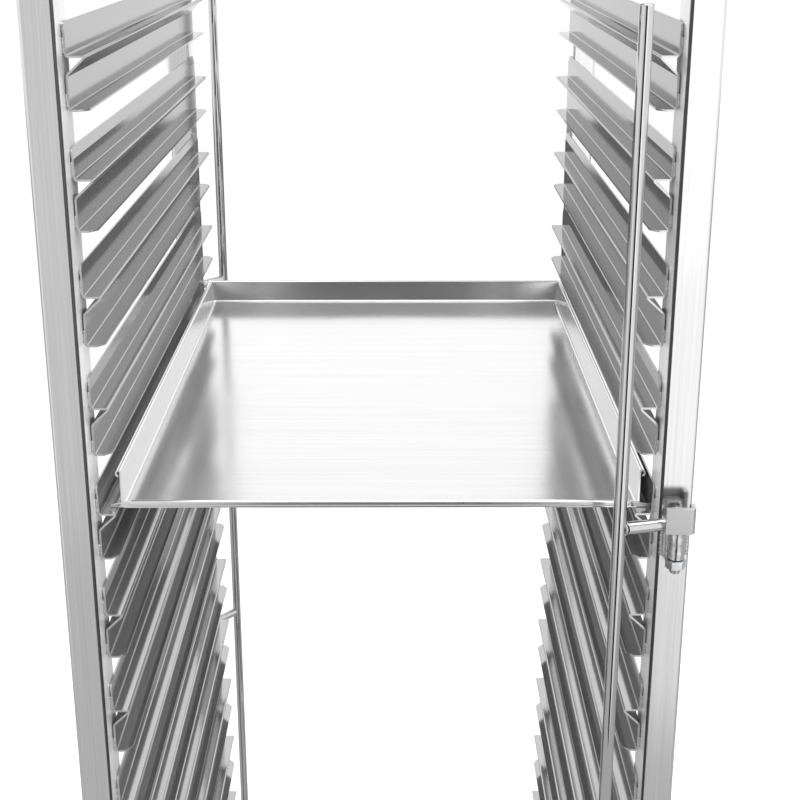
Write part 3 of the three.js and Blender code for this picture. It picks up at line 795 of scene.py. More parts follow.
@dataclass
class TubeFrame:
    """The posts, the two rectangles of tube that close them and the plates under the corners."""

    finishes: Finishes
    trees: Trees
    corner: float = 2.5
    post_width: float = 24.0
    post_depth: float = 38.0
    rail_height: float = 38.0
    plate_sheet: float = 4.0
    plate_side: float = 98.0
    plate_corner: float = 4.0
    bead: float = 1.7
    mitre_sink: float = 0.9

    def posts(self) -> None:
        """Each post with rounded corners; on the front ones the inner front corner gets a painted shadow
        line and the inner flank painted light.
        """
        outline = round_rectangle(self.post_width, self.post_depth, self.corner)
        for end, _ in ENDS:
            for side, sx in SIDES:
                node = f"post_{end}_{side}"
                low, high = millimetre_box(node)
                middle = (low + high) / 2
                shell = Shell()
                shell.prism(outline, at(middle.x, middle.y, low.z), high.z - low.z)
                if end == "front":
                    # painted shadow: the inner front corner's faces take the near-black steel, standing
                    # in for shade along that edge
                    shell.finish_where(1, lambda _, normal: normal.y < -0.45 and -sx * normal.x > 0.35)
                    # painted light: the inner flank takes the paler steel, standing in for the light it
                    # catches
                    shell.finish_where(2, lambda _, normal: -sx * normal.x > 0.95)
                finishes = [self.finishes.post_steel, self.finishes.corner_painted_shadow, self.finishes.flank_painted_light]
                mount(shell.piece(f"{node}_tube", finishes), "frame", [node])

    def ring(self, node: str, lift: float) -> None:
        """A rectangle of tube with mitred corners, as wide as a node and a little above its foot."""
        low, high = millimetre_box(node)
        shell = Shell()
        half = self.post_width / 2
        section = round_rectangle(self.post_width, self.rail_height, self.corner)
        z = low.z + lift + self.rail_height / 2
        x0, x1, y0, y1 = low.x + half, high.x - half, low.y + half, high.y - half
        path = [Vector(point) for point in ((x0, y0, z), (x1, y0, z), (x1, y1, z), (x0, y1, z))]
        shell.sweep(path, section)
        inset = half * 1.2 * MM
        first, last = y0 * MM + inset, y1 * MM - inset
        shell.finish_where(1, lambda centre, _: first < centre.y < last)
        made = shell.piece(f"{node}_tube", [self.finishes.cross_steel, self.finishes.side_steel])
        mount(made, "frame", [node])

    def corner_plates(self) -> None:
        """A plate under each corner of the base, for its castor."""
        low, high = millimetre_box("base_frame")
        plates = Shell()
        middle, reach = (low + high) / 2, (high - low) / 2
        for _, sy in ENDS:
            for _, sx in SIDES:
                x = middle.x + sx * (reach.x - self.plate_side / 2)
                y = middle.y + sy * (reach.y - self.plate_side / 2)
                plates.prism(round_rectangle(self.plate_side, self.plate_side, self.plate_corner),
                             at(x, y, low.z), self.plate_sheet - 0.05)
        plates.soften(0.5)
        mount(plates.piece("corner_plates", [self.finishes.side_steel]), "frame")

    def welds(self) -> None:
        """Beads round both ends of every post and along the mitres on top."""
        paths = []
        for end, sy in ENDS:
            for side, sx in SIDES:
                low, high = millimetre_box(f"post_{end}_{side}")
                inner_x, outer_x = (high.x, low.x) if sx < 0 else (low.x, high.x)
                inner_y, outer_y = (high.y, low.y) if sy < 0 else (low.y, high.y)
                for z in (low.z, high.z):
                    paths.append([Vector((inner_x, outer_y + sy * -2, z)), Vector((inner_x, inner_y, z)),
                                  Vector((outer_x - sx * 2, inner_y, z))])
        low, high = millimetre_box("top_frame")
        top = high.z - self.mitre_sink
        inset = (self.corner, self.post_width - 1)
        for x, sx in ((low.x, 1), (high.x, -1)):
            for y, sy in ((low.y, 1), (high.y, -1)):
                paths.append([Vector((x + sx * share, y + sy * share, top)) for share in inset])
        made = self.trees.bead("frame_weld_beads", paths, self.bead, self.finishes.weld_metal)
        mount(made, "frame")

    def build(self) -> None:
        """All of the frame."""
        self.posts()
        self.ring("top_frame", 0.0)
        self.ring("base_frame", self.plate_sheet)
        self.corner_plates()
        self.welds()


# ---------------------------------------------------------------------------------------- runners


@dataclass
class Runners:
    """The folded double runners of one side: web, ledge, turned-back nose, slope, web and lower ledge."""

    finishes: Finishes
    trees: Trees
    side: str
    sheet: float = 1.5
    web: float = 22.0
    ledge: float = 13.0
    ledge_step: float = 35.7
    slope_angle: float = 43.0
    nose_radius: float = 0.85
    bend: float = 2.0
    web_corner: float = 7.0
    ledge_corner: float = 8.0
    lip: float = 8.0
    set_in: float = 1.0
    ledge_taper: float = 6.0
    weld_gap: float = 1.1
    weld_spans: tuple[Point2, Point2] = ((2.0, 11.0), (-33.0, -26.0))
    weld_radius: float = 1.2
    modules: int = 14

    def middle_line(self, web_drop: float, ledge_cut: float) -> list[Point2]:
        """Corners of the sheet's middle line, out from the web's face and up from the upper ledge."""
        half = self.sheet / 2
        outer = self.nose_radius + half
        fold = math.radians(180 - self.slope_angle)
        nose = -self.ledge + outer - self.nose_radius * math.tan(fold / 2)
        web = half - self.set_in
        lip_top = web + self.set_in * (self.lip - web_drop) / self.lip
        foot = -half - (web - nose) * math.tan(math.radians(self.slope_angle))
        bottom = -self.ledge_step - half
        return [(lip_top, self.web - web_drop), (web, self.web - self.lip), (web, -half), (nose, -half),
                (web, foot), (web, bottom), (-self.ledge + ledge_cut, bottom)]

    def outline(self, web_drop: float, ledge_cut: float) -> list[Point2]:
        """The sheet's section where its web is lowered and its lower ledge shortened by so much."""
        radii = (self.bend, self.bend, self.nose_radius, self.bend, self.bend)
        return sheet_outline(self.middle_line(web_drop, ledge_cut), self.sheet, radii)

    def build(self) -> None:
        """One runner with its corners cut, then the whole stack of them."""
        low, high = millimetre_box(f"runner_{self.side}_01")
        above, _ = millimetre_box(f"runner_{self.side}_02")
        sign = -1 if self.side == "left" else 1
        face = (low.x if sign < 0 else high.x) - sign * self.sheet
        level = high.z - self.web
        reach = max(self.web_corner, self.ledge_corner)
        steps = [0.0, 0.03, 0.12, 0.28, 0.5, 0.75, 1.0]
        rings = []
        near = [(low.y + reach * step, reach * step) for step in steps]
        far = [(high.y - reach * step, reach * step) for step in reversed(steps)]
        for y, inward in [*near, *far]:
            short = max(0.0, self.web_corner - inward)
            web_drop = self.web_corner - math.sqrt(max(0.0, self.web_corner**2 - short**2))
            ledge_cut = self.ledge_taper * max(0.0, 1 - inward / self.ledge_corner) ** 1.3
            outline = self.outline(web_drop, ledge_cut)
            rings.append([Vector((face + sign * x, y, level + z)) for x, z in outline])
        shell = Shell()
        shell.loft(rings)
        finish = self.finishes.runner_steel
        made = shell.piece(f"runners_{self.side}", [finish], smooth=40.0)
        values = {"Count": self.modules, "Pitch": (above.z - low.z) * MM, "Finish": finish}
        shade_flats(run_tree(made, self.trees.stack, values))
        nodes = [f"runner_{self.side}_{index + 1:02d}" for index in range(self.modules)]
        mount(made, "frame", nodes)
        self.welds(face + sign * self.weld_gap, (low.y + 0.4, high.y - 0.4), level, above.z - low.z)

    def welds(self, x: float, ends: tuple[float, float], level: float, pitch: float) -> None:
        """Short beads that hold both webs of every runner to the posts.

        Args:
            x: middle of the narrow gap between web and post.
            ends: where the webs end, front and rear.
            level: the lowest runner's upper ledge.
            pitch: from one runner to the next.
        """
        paths = []
        for index in range(self.modules):
            for y in ends:
                for span in self.weld_spans:
                    paths.append([Vector((x, y, level + index * pitch + z)) for z in span])
        name = f"runner_weld_beads_{self.side}"
        made = self.trees.bead(name, paths, self.weld_radius, self.finishes.weld_metal, 7)
        mount(made, "frame")


# ---------------------------------------------------------------------------------------- sheet pan


@dataclass
class SheetPan:
    """The sheet pan: a floor with three leaning walls, a rolled rim and a low hem across its front."""

    finishes: Finishes
    sheet: float = 1.2
    rim: float = 4.5
    hem: float = 5.4
    flare: float = 3.5
    bend: float = 3.0
    mouth_slant: float = 18.0
    mouth_inset: float = 13.0

    def wall_line(self, height: float) -> list[tuple[Vector, Vector]]:
        """Middle line of a wall, from the floor up and round the rim, measured from the rim's middle."""
        half = self.sheet / 2
        curl = self.rim / 2 - half
        foot = -self.flare - self.rim / 2 + 1.0
        top = height - self.rim / 2
        lean = math.atan2(-curl - foot, top)
        line = bent_line([(foot - 9.0, half), (foot, half), (-curl, top)], [self.bend], 12.0)
        for index in range(1, 15):
            angle = math.pi - lean - math.radians(270) * index / 14
            point = Vector((curl * math.cos(angle), top + curl * math.sin(angle)))
            line.append((point, Vector((math.sin(angle), -math.cos(angle)))))
        return line

    def build(self) -> None:
        """The pan's shell, its hem and its folded front corners."""
        low, high = millimetre_box("sheet_pan")
        height = high.z - low.z
        line = self.wall_line(height)
        half = self.sheet / 2
        top_side, under_side = [], []
        for point, tangent in line:
            offset = Vector((-tangent.y, tangent.x)) * half
            top_side.append(point + offset)
            under_side.append(point - offset)
        section = top_side + under_side[::-1]
        x0, x1 = low.x + self.rim / 2, high.x - self.rim / 2
        y0, y1 = low.y + 0.6, high.y - self.rim / 2

        def station(side: int, back: bool) -> list[Vector]:
            """The wall's section at a front end or in a back corner's mitre."""
            x = x0 if side < 0 else x1
            slant = self.mouth_slant / height
            ends = [y1 + p.x if back else y0 + slant * max(0.0, p.y - 2) for p in section]
            return [Vector((x + side * p.x, y, low.z + p.y)) for p, y in zip(section, ends)]

        shell = Shell()
        rows = []
        for ring in (station(-1, False), station(-1, True), station(1, True), station(1, False)):
            rows.append([shell.mesh.verts.new(point * MM) for point in ring])
        last = len(section) - 1
        for first, second in zip(rows, rows[1:]):
            for index in range(last):
                shell.mesh.faces.new((first[index], first[index + 1], second[index + 1], second[index]))
        shell.mesh.faces.new([row[0] for row in rows])
        shell.mesh.faces.new([row[last] for row in reversed(rows)])
        shell.mesh.faces.new(rows[0])
        shell.mesh.faces.new(list(reversed(rows[3])))
        shell.mesh.faces.new((rows[0][0], rows[3][0], rows[3][last], rows[0][last]))
        made = shell.piece("sheet_pan_shell", [self.finishes.aluminium], smooth=50.0)
        mount(made, "pan", ["sheet_pan"])

        self.front(low, high, x0, x1)

    def front(self, low: Vector, high: Vector, x0: float, x1: float) -> None:
        """The low hem and the two folded corners beside it.

        Args:
            low: the pan's lowest corner.
            high: its highest corner.
            x0: middle of the left rim.
            x1: middle of the right rim.
        """
        hem = Shell()
        radius = self.hem / 2
        left, right = low.x + self.mouth_inset, high.x - self.mouth_inset
        ends = [Vector((x, low.y + radius, low.z + radius)) for x in (left, right)]
        hem.bar(ends[0], ends[1], radius, 24, 1.2)
        sides = ((-1, left + 1, x0 - self.flare + 1), (1, right - 1, x1 + self.flare - 1))
        for side, inner, corner in sides:
            wing = [(inner, 0.2), (inner, self.rim - 0.4), (inner + side * 2.5, self.rim + 0.6),
                    (corner + side * 1.5, 2.6), (corner + side * 1.2, 0.2)]
            hem.loft([[Vector((x, low.y + y, low.z + z)) for x, z in wing] for y in (0.5, 1.9)])
        hem.soften(0.3, 50.0, 1)
        mount(hem.piece("sheet_pan_hem", [self.finishes.aluminium]), "pan")


# ---------------------------------------------------------------------------------------- lock bars


@dataclass
class LockBar:
    """A lock bar at one end of the rack: a rod on two arms with eyes and catch plates, and its hinges."""

    finishes: Finishes
    trees: Trees
    end: str
    rod: float = 9.5
    arm_reach: float = 45.5
    neck: float = 1.6
    neck_share: float = 0.62
    end_slant: float = -3.2
    standoff: float = 11.0
    catch_turn: float = 14.0
    catch_width: float = 22.0
    catch_height: float = 20.0
    catch_sheet: float = 3.5
    catch_return: float = 11.0
    catch_drop: float = 4.75
    eye: float = 15.0
    bolt: float = 8.0
    hole: float = 8.8
    flats: float = 13.0
    head: float = 3.0
    washer: float = 14.0
    washer_sheet: float = 1.4
    nut: float = 6.8
    tail: float = 4.6
    bush: float = 12.0
    bush_length: float = 23.0
    lug_width: float = 17.0
    lug_height: float = 19.0
    lug_drop: float = 4.0
    lug_corner: float = 1.6
    gap: float = 0.5
    play: float = 0.3
    thread_turns: int = 5

    def __post_init__(self) -> None:
        """Finds the hinge axis, its levels and how far the bar is open at rest."""
        self.axis = joint_point(f"lock_bar_{self.end}_swing")
        self.turn = 0.0 if self.end == "front" else math.pi
        self.swing = math.radians(14.0 if self.end == "front" else 50.0)
        self.levels = []
        for level in ("lower", "upper"):
            _, lug_top = millimetre_box(f"hinge_lug_{self.end}_{level}")
            self.levels.append(lug_top.z + self.gap + self.rod / 2)
        low, high = millimetre_box(f"lock_bar_{self.end}")
        self.bottom, self.top = low.z, high.z

    def place(self, swung: bool) -> Matrix:
        """Where the hinge axis stands, in metres, turned with the bar or not."""
        spot = Matrix.Translation((self.axis.x * MM, self.axis.y * MM, 0))
        return spot @ Matrix.Rotation(self.turn + (self.swing if swung else 0.0), 4, "Z")

    def arm(self, shell: Shell, z: float) -> None:
        """One arm: a neck in the rod, then a round bar whose cut end slants, up to the eye."""
        radius = self.rod / 2
        foot, head = -self.arm_reach + radius + self.neck, -self.hole / 2 - 1.2
        neck_start = Vector((-self.arm_reach + radius * 0.5, 0, z))
        shell.bar(neck_start, Vector((foot + 5, 0, z)), radius * self.neck_share, 28, 0.4)
        rings = []
        stations = ((foot, 1.0, 0.02), (foot, 1.0, 0.93), (foot + 0.5, 1.0, 1.0), (head, 0.0, 1.0))
        for x, slant, size in stations:
            ring = []
            for index in range(40):
                angle = 2 * math.pi * index / 40
                y, up = radius * math.cos(angle) * size, radius * math.sin(angle) * size
                ring.append(Vector((x + slant * self.end_slant * (y / radius + 1) / 2, y, z + up)))
            rings.append(ring)
        shell.loft(rings)

    def bar(self) -> None:
        """The rod, its arms and their eyes."""
        shell = Shell()
        radius = self.rod / 2
        ends = [Vector((-self.arm_reach, 0, z)) for z in (self.bottom, self.top)]
        shell.bar(ends[0], ends[1], radius, 48, 1.5)
        inner, outer, edge = self.hole / 2, self.eye / 2, 0.7
        eye = [(inner, -radius + edge), (inner + edge, -radius), (outer - edge, -radius),
               (outer, -radius + edge), (outer, radius - edge), (outer - edge, radius),
               (inner + edge, radius), (inner, radius - edge)]
        for z in self.levels:
            self.arm(shell, z)
            shell.turned(eye, at(0, 0, z), 40, closed=True)
        made = shell.piece(f"lock_bar_{self.end}_rod", [self.finishes.rod_steel], self.place(True))
        mount(made, f"lock_bar_{self.end}", [f"lock_bar_{self.end}"])

    def catches(self) -> None:
        """The catch plates in front of the eyes, each folded back along one side."""
        shell = Shell()
        half, sheet = self.catch_width / 2, self.catch_sheet
        line = [(-half, -self.standoff + sheet / 2), (half - sheet / 2, -self.standoff + sheet / 2),
                (half - sheet / 2, -self.standoff + self.catch_return)]
        outline = sheet_outline(line, sheet, [sheet * 0.62], 12.0)
        back = Matrix.Rotation(math.radians(-self.catch_turn), 4, "Z")
        for z in self.levels:
            shell.prism(outline, back @ at(0, 0, z - self.catch_drop), self.catch_height)
        shell.soften(0.45, 40.0)
        made = shell.piece(f"catch_plates_{self.end}", [self.finishes.plate_steel], self.place(True))
        mount(made, f"lock_bar_{self.end}")

    def arm_welds(self) -> None:
        """A bead where each arm meets the rod and where it meets its catch plate."""
        paths = []
        radius = self.rod / 2
        for z in self.levels:
            collar = []
            for index in range(25):
                angle = 2 * math.pi * index / 24
                bulge = radius * (self.neck_share + 0.3 * math.cos(angle) ** 2)
                collar.append(Vector((-self.arm_reach + bulge, radius * math.cos(angle) * 0.9,
                                      z + radius * math.sin(angle) * 0.95)))
            paths.append(collar)
            x, y = -self.catch_width * 0.42, -radius - 0.6
            paths.append([Vector((x, y, z + rise)) for rise in (-3.4, 3.4)])
        made = self.trees.bead(f"lock_bar_{self.end}_welds", paths, 1.1, self.finishes.weld_metal, 5)
        made.data.transform(self.place(True))
        mount(made, f"lock_bar_{self.end}")

    def lugs(self) -> None:
        """The fixed bushes on their plates, welded to the post."""
        shell = Shell()
        beads = []
        for z in self.levels:
            top = z - self.rod / 2 - self.gap
            inner, outer, edge = self.hole / 2, self.bush / 2, 0.8
            ring = [(inner, 0), (outer - edge, 0), (outer, edge), (outer, self.bush_length - edge),
                    (outer - edge, self.bush_length), (inner, self.bush_length)]
            shell.turned(ring, at(0, 0, top - self.bush_length), 40, closed=True)
            plate_top = top - self.lug_drop
            plate_foot = plate_top - self.lug_height
            half, cut = self.lug_width / 2, self.lug_corner
            y0, y1 = self.bush / 2 - 1.0, self.standoff - self.play
            outline = [(-half, y0 + cut), (-half + cut, y0), (half - cut, y0), (half, y0 + cut),
                       (half, y1), (-half, y1)]
            shell.prism(outline, at(0, 0, plate_foot), self.lug_height)
            for side in (-1, 1):
                for x, y, stop in ((half + 0.4, y1 - 1.1, 0.5), (outer - 0.4, y0 - 0.4, 1.0)):
                    beads.append([Vector((side * x, y, z)) for z in (plate_foot + 0.5, plate_top - stop)])
        shell.soften(0.3, 50.0, 1)
        made = shell.piece(f"hinge_bushes_{self.end}", [self.finishes.cast_steel], self.place(False))
        nodes = [f"hinge_lug_{self.end}_{level}" for level in ("lower", "upper")]
        mount(made, "frame", nodes)
        welds = self.trees.bead(f"hinge_welds_{self.end}", beads, 1.9, self.finishes.weld_metal, 11)
        welds.data.transform(self.place(False))
        mount(welds, "frame")

    def bolts(self) -> None:
        """The hinge bolts: chamfered hexagon heads, washers, nuts and threaded tails."""
        shell = Shell()
        radius, rim, sheet = self.bolt / 2, self.washer / 2, self.washer_sheet
        washer = [(radius, 0), (rim - 0.3, 0), (rim, 0.3), (rim, sheet - 0.3), (rim - 0.3, sheet),
                  (radius, sheet)]
        threads = []
        for index in range(self.thread_turns):
            height = 1.2 + (self.tail - 1.2) * index / self.thread_turns
            threads += [(radius, height), (radius, height + 0.25), (radius - 0.45, height + 0.5)]
        for z in self.levels:
            seat = z + self.rod / 2 + self.play
            shell.turned(washer, at(0, 0, seat), 36, closed=True)
            hexagon_nut(shell, at(0, 0, seat + sheet), self.flats, self.head, crowned=True)
            nut_top = z - self.rod / 2 - self.gap - self.bush_length - self.play
            hexagon_nut(shell, at(0, 0, nut_top - self.nut), self.flats, self.nut)
            foot = nut_top - self.nut - self.tail
            profile = [(0, 0), (radius * 0.55, 0.12), (radius * 0.85, 0.6), *threads,
                       (radius - 0.2, self.tail), (radius - 0.2, seat - foot), (0, seat - foot)]
            shell.turned(profile, at(0, 0, foot), 32)
        made = shell.piece(f"hinge_bolts_{self.end}", [self.finishes.zinc], self.place(False))
        nodes = [f"hinge_bolt_{self.end}_{level}" for level in ("lower", "upper")]
        mount(made, "frame", nodes)

    def build(self) -> None:
        """All of the bar and its hinges."""
        self.bar()
        self.catches()
        self.arm_welds()
        self.lugs()
        self.bolts()


def hexagon_nut(shell: Shell, place: Matrix, flats: float, height: float, crowned: bool = False) -> None:
    """A hexagon with chamfered corners, standing on its place.

    Args:
        shell: the mesh that it goes into.
        place: its foot's middle.
        flats: width across the flats.
        height: its height.
        crowned: only its upper side is chamfered, as a bolt head's is.
    """
    corner = flats / 2 / math.cos(math.pi / 6)
    chamfer = (corner - flats / 2) * 0.9
    rings = []
    lower = 0.0 if crowned else chamfer
    levels = [(0.0, lower), (lower * 0.6, 0.0), (height - chamfer * 0.6, 0.0), (height, chamfer)]
    for z, cut in levels:
        ring = []
        for index in range(36):
            angle = 2 * math.pi * index / 36
            local = (angle + math.pi / 6) % (math.pi / 3) - math.pi / 6
            reach = min(flats / 2 / math.cos(local), corner - cut)
            ring.append(place @ Vector((reach * math.sin(angle), reach * math.cos(angle), z)))
        rings.append(ring)
    shell.loft(rings)


# ---------------------------------------------------------------------------------------- castors


@dataclass
class Castor:
    """One swivel castor: top plate with its ball race, fork, axle, wheel, and in front a brake pedal."""

    finishes: Finishes
    trees: Trees
    end: str
    side: str
    trail: float = 38.0
    fork_inside: float = 39.0
    fork_sheet: float = 3.0
    crown_top: float = 139.5
    crown_bottom: float = 134.0
    plate_top: float = 156.0
    plate_sheet: float = 4.0
    plate_breadth: float = 80.0
    plate_length: float = 95.0
    race: float = 29.0
    bolt_x: float = 30.0
    bolt_y: float = 38.0
    bolt_height: float = 5.2
    bolt_corner: float = 8.2
    bolt_washer: float = 9.4
    leg_eye: float = 17.0
    axle_radius: float = 6.0
    tyre_half: float = 16.0
    pedal_reach: float = 66.0
    pedal_width: float = 34.0
    pedal_sheet: float = 4.0
    pin: float = 6.0
    pin_head: float = 9.6
    pin_hole: float = 7.0
    ear: float = 8.0
    ear_root: float = 27.0

    def __post_init__(self) -> None:
        """Finds the swivel axis and the axle."""
        self.corner = f"{self.end}_{self.side}"
        self.swivel = joint_point(f"swivel_{self.corner}")
        self.axle = joint_point(f"spin_{self.corner}")
        self.half_turn = Matrix.Rotation(math.pi if self.end == "front" else 0.0, 4, "Z")

    def place(self) -> Matrix:
        """Where the swivel axis stands, in metres, turned so that the wheel trails along its +Y."""
        return Matrix.Translation((self.swivel.x * MM, self.swivel.y * MM, 0)) @ self.half_turn

    def top_plate(self) -> None:
        """The plate, its ball race and its kingpin nut."""
        shell = Shell()
        outline = round_rectangle(self.plate_breadth, self.plate_length, 8.0)
        shell.prism(outline, at(0, 0, self.plate_top - self.plate_sheet), self.plate_sheet)
        under = self.plate_top - self.plate_sheet
        race = self.race
        profile = [(0, 140.4), (race - 3, 140.4), (race, 142), (race, 145.2), (race - 2.2, 146.4),
                   (race - 2.2, 147.4), (race, 148.4), (race + 1, under - 0.8), (race + 1, under),
                   (0, under)]
        shell.turned(profile, Matrix.Identity(4), 48)
        kingpin = [(0, 127.4), (6, 127.4), (6, 141), (0, 141)]
        shell.turned(kingpin, Matrix.Identity(4), 24)
        hexagon_nut(shell, at(0, 0, self.crown_bottom - 6.5), 18.0, 6.0)
        shell.soften(0.5, 60.0, 1)
        made = shell.piece(f"castor_plate_and_race_{self.corner}", [self.finishes.zinc], self.place())
        mount(made, "frame", [f"castor_plate_{self.corner}"])

    def bolts(self) -> None:
        """The four bolts that hold the plate up to the base frame."""
        level = self.plate_top - self.plate_sheet - self.bolt_height / 2
        spots = [[Vector((x, y, level))] for x in (-self.bolt_x, self.bolt_x)
                 for y in (-self.bolt_y, self.bolt_y)]
        points = path_object(f"castor_bolts_{self.corner}", spots)
        values = {"Corner Radius": self.bolt_corner * MM, "Washer Radius": self.bolt_washer * MM,
                  "Height": self.bolt_height * MM, "Finish": self.finishes.zinc}
        made = run_tree(points, self.trees.screws, values)
        made.data.transform(self.place())
        mount(made, "frame")

    def leg(self) -> list[Point2]:
        """Outline of a fork leg, seen from the side: broad at the crown and round at the axle."""
        turns = [math.pi * (1.12 + 0.98 * index / 16) for index in range(17)]
        low = [(self.trail + self.leg_eye * math.cos(turn), self.axle.z + self.leg_eye * math.sin(turn))
               for turn in turns]
        return [(-20.0, self.crown_bottom), (-24.0, self.crown_bottom - 9), *low,
                (34.0, self.crown_bottom - 9), (28.0, self.crown_bottom)]

    def ears(self, shell: Shell) -> None:
        """Adds the two ears of a braked fork, from its legs out round the holes of the pedal's pin."""
        pivot = joint_point(f"brake_pedal_{self.side}_tilt")
        reach = abs(pivot.y - self.swivel.y)
        root, root_top = self.ear_root, self.crown_bottom - pivot.z
        nose = [math.pi * (index / 12 - 0.5) for index in range(13)]
        rest = [math.pi * (0.5 + (index + 1) / 10) for index in range(9)]
        outline = [(reach + self.ear * math.cos(angle), self.ear * math.sin(angle)) for angle in nose]
        shares = (0.25, 0.5, 0.75, 1.0)
        outline += [(reach + (root - reach) * share, self.ear + (root_top - self.ear) * share)
                    for share in shares]
        outline.append((root, (root_top - self.ear) / 2))
        outline += [(reach + (root - reach) * share, -self.ear) for share in reversed(shares)]
        bore = self.pin_hole / 2
        hole = [(reach + bore * math.cos(angle), bore * math.sin(angle)) for angle in nose + rest]
        near, far = self.fork_inside / 2 + 0.1, self.fork_inside / 2 + self.fork_sheet - 0.1
        for sign in (-1, 1):
            walls = ((outline, near), (outline, far), (hole, far), (hole, near))
            rings = [[Vector((sign * x, y, pivot.z + z)) for y, z in loop] for loop, x in walls]
            shell.loft(rings, looped=True)

    def fork(self) -> None:
        """The pressed fork with its axle, washers, nuts and, where it has a brake, the pedal's ears."""
        shell = Shell()
        inner = self.fork_inside / 2
        middle = inner + self.fork_sheet / 2
        across = facing("+Y")
        shoulder = self.crown_top - self.fork_sheet / 2
        line = [(-middle, self.crown_bottom), (-middle, shoulder), (middle, shoulder),
                (middle, self.crown_bottom)]
        bridge = sheet_outline(line, self.fork_sheet, [3.4, 3.4])
        shell.prism([(x, -z) for x, z in bridge], at(0, -20, 0) @ across, 48.0)
        for x in (-inner - self.fork_sheet, inner):
            shell.prism(self.leg(), at(x, 0, 0) @ SIDEWAYS, self.fork_sheet)
        crown = [(7.2, self.crown_bottom + 2.4), (30, self.crown_bottom + 2.4), (30, self.crown_top - 1),
                 (28.5, self.crown_top), (7.2, self.crown_top)]
        shell.turned(crown, Matrix.Identity(4), 48, closed=True)
        if self.end == "front":
            self.ears(shell)
        shell.soften(0.6, 40.0)
        outer = inner + self.fork_sheet
        ends = [Vector((x, self.trail, self.axle.z)) for x in (-outer - 4, outer + 4)]
        shell.bar(ends[0], ends[1], self.axle_radius, 28)
        washer = [(6, 0), (11.5, 0), (11.5, 1.2), (11.0, 1.6), (6, 1.6)]
        for axis, sign in (("-X", -1), ("+X", 1)):
            seat = at(sign * outer, self.trail, self.axle.z) @ facing(axis)
            shell.turned(washer, seat, 36, closed=True)
            hexagon_nut(shell, seat @ at(0, 0, 1.4), 17.0, 4.0, crowned=True)
        made = shell.piece(f"castor_fork_pressed_{self.corner}", [self.finishes.zinc], self.place())
        mount(made, f"castor_{self.corner}", [f"castor_fork_{self.corner}"])

    def wheel(self) -> None:
        """The tyre, the ribbed centre and its bearing caps."""
        radius = self.axle.z
        half = self.tyre_half
        spot = at(0, self.trail, radius) @ facing("+X")
        tyre = Shell()
        shoulder = [(radius - 7 + 7 * math.sin(a), half - 6 + 6 * math.cos(a))
                    for a in (math.pi / 2 * index / 7 for index in range(8))]
        side = [(45.5, 12.5), (47.0, 14.5), (50.0, 14.9), *shoulder]
        tyre.turned([*side, *[(r, -x) for r, x in reversed(side)]], spot, 96, closed=True)
        made = tyre.piece(f"tyre_{self.corner}", [self.finishes.tyre], self.place(), 40.0)
        mount(made, f"wheel_{self.corner}", [f"castor_wheel_{self.corner}"])

        centre = Shell()
        half_section = [(7.2, 17.6), (13.0, 17.6), (14.6, 16.4), (16.5, 5.2), (42.0, 4.2), (43.4, 13.2),
                        (46.4, 13.2)]
        other_half = [(r, -x) for r, x in reversed(half_section)]
        centre.turned([*half_section, *other_half], spot, 64, closed=True)
        for index in range(6):
            turn = spot @ Matrix.Rotation(math.pi / 3 * index, 4, "Z")
            for face in (-1, 1):
                rib = [(14.5, face * 4.0), (43.6, face * 4.0), (43.6, face * 11.5), (14.5, face * 14.5)]
                centre.loft([[turn @ Vector((r, y, x)) for r, x in rib] for y in (-1.6, 1.6)])
        centre.soften(0.5, 50.0, 1)
        centre.finish = 1
        for face in (-1, 1):
            cap = [(6.6, face * 17.4), (12.2, face * 17.4), (11.6, face * 18.2), (6.6, face * 18.2)]
            centre.turned(cap, spot, 40, closed=True)
        finishes = [self.finishes.hub, self.finishes.zinc]
        made = centre.piece(f"wheel_centre_{self.corner}", finishes, self.place())
        mount(made, f"wheel_{self.corner}")

    def pedal(self) -> None:
        """The brake pedal: a pin through the fork's ears, a barrel between them and a ribbed tread."""
        pivot = joint_point(f"brake_pedal_{self.side}_tilt")
        spot = at(pivot.x, pivot.y, pivot.z) @ self.half_turn
        reach, sheet = self.pedal_reach, self.pedal_sheet
        lower = [(2, 2), (reach * 0.2, 4.4), (reach * 0.45, 6), (reach * 0.65, 4.8), (reach * 0.8, 2),
                 (reach * 0.92, -3), (reach, -8)]
        tread = [*lower, *[(y, z + sheet) for y, z in reversed(lower)]]
        shell = Shell()
        shell.prism(tread, spot @ at(-self.pedal_width / 2, 0, 0) @ SIDEWAYS, self.pedal_width)
        ridge = round_rectangle(self.pedal_width - 8, 1.8, 0.8, 2)
        for share in (0.42, 0.5, 0.58, 0.66, 0.74):
            y = reach * share
            z = 6 - 0.0042 * (y - reach * 0.45) ** 2 * 1.4 + sheet
            shell.prism(ridge, spot @ at(0, y, z - 1.5), 2.3)
        shell.soften(0.8, 40.0)
        half = self.fork_inside / 2 - 0.6
        ends = [spot @ Vector((x, 0, 0)) for x in (-half, half)]
        shell.bar(ends[0], ends[1], 4.5, 28)
        shell.finish = 1
        outer = self.fork_inside / 2 + self.fork_sheet
        ends = [spot @ Vector((x, 0, 0)) for x in (-outer - 1.5, outer + 1.5)]
        shell.bar(ends[0], ends[1], self.pin / 2, 24)
        head = [(self.pin / 2 - 0.1, 0.2), (self.pin_head / 2, 0.2), (self.pin_head / 2, 0.8),
                (self.pin_head / 2 - 0.6, 1.3), (self.pin / 2 - 0.1, 1.4)]
        for axis, sign in (("-X", -1), ("+X", 1)):
            shell.turned(head, spot @ at(sign * outer, 0, 0) @ facing(axis), 28, closed=True)
        finishes = [self.finishes.pedal, self.finishes.zinc]
        made = shell.piece(f"brake_pedal_tread_{self.side}", finishes)
        mount(made, f"brake_{self.side}", [f"brake_pedal_{self.side}"])

    def build(self) -> None:
        """All of the castor."""
        self.top_plate()
        self.bolts()
        self.fork()
        self.wheel()
        if self.end == "front":
            self.pedal()


# ---------------------------------------------------------------------------------------- studio


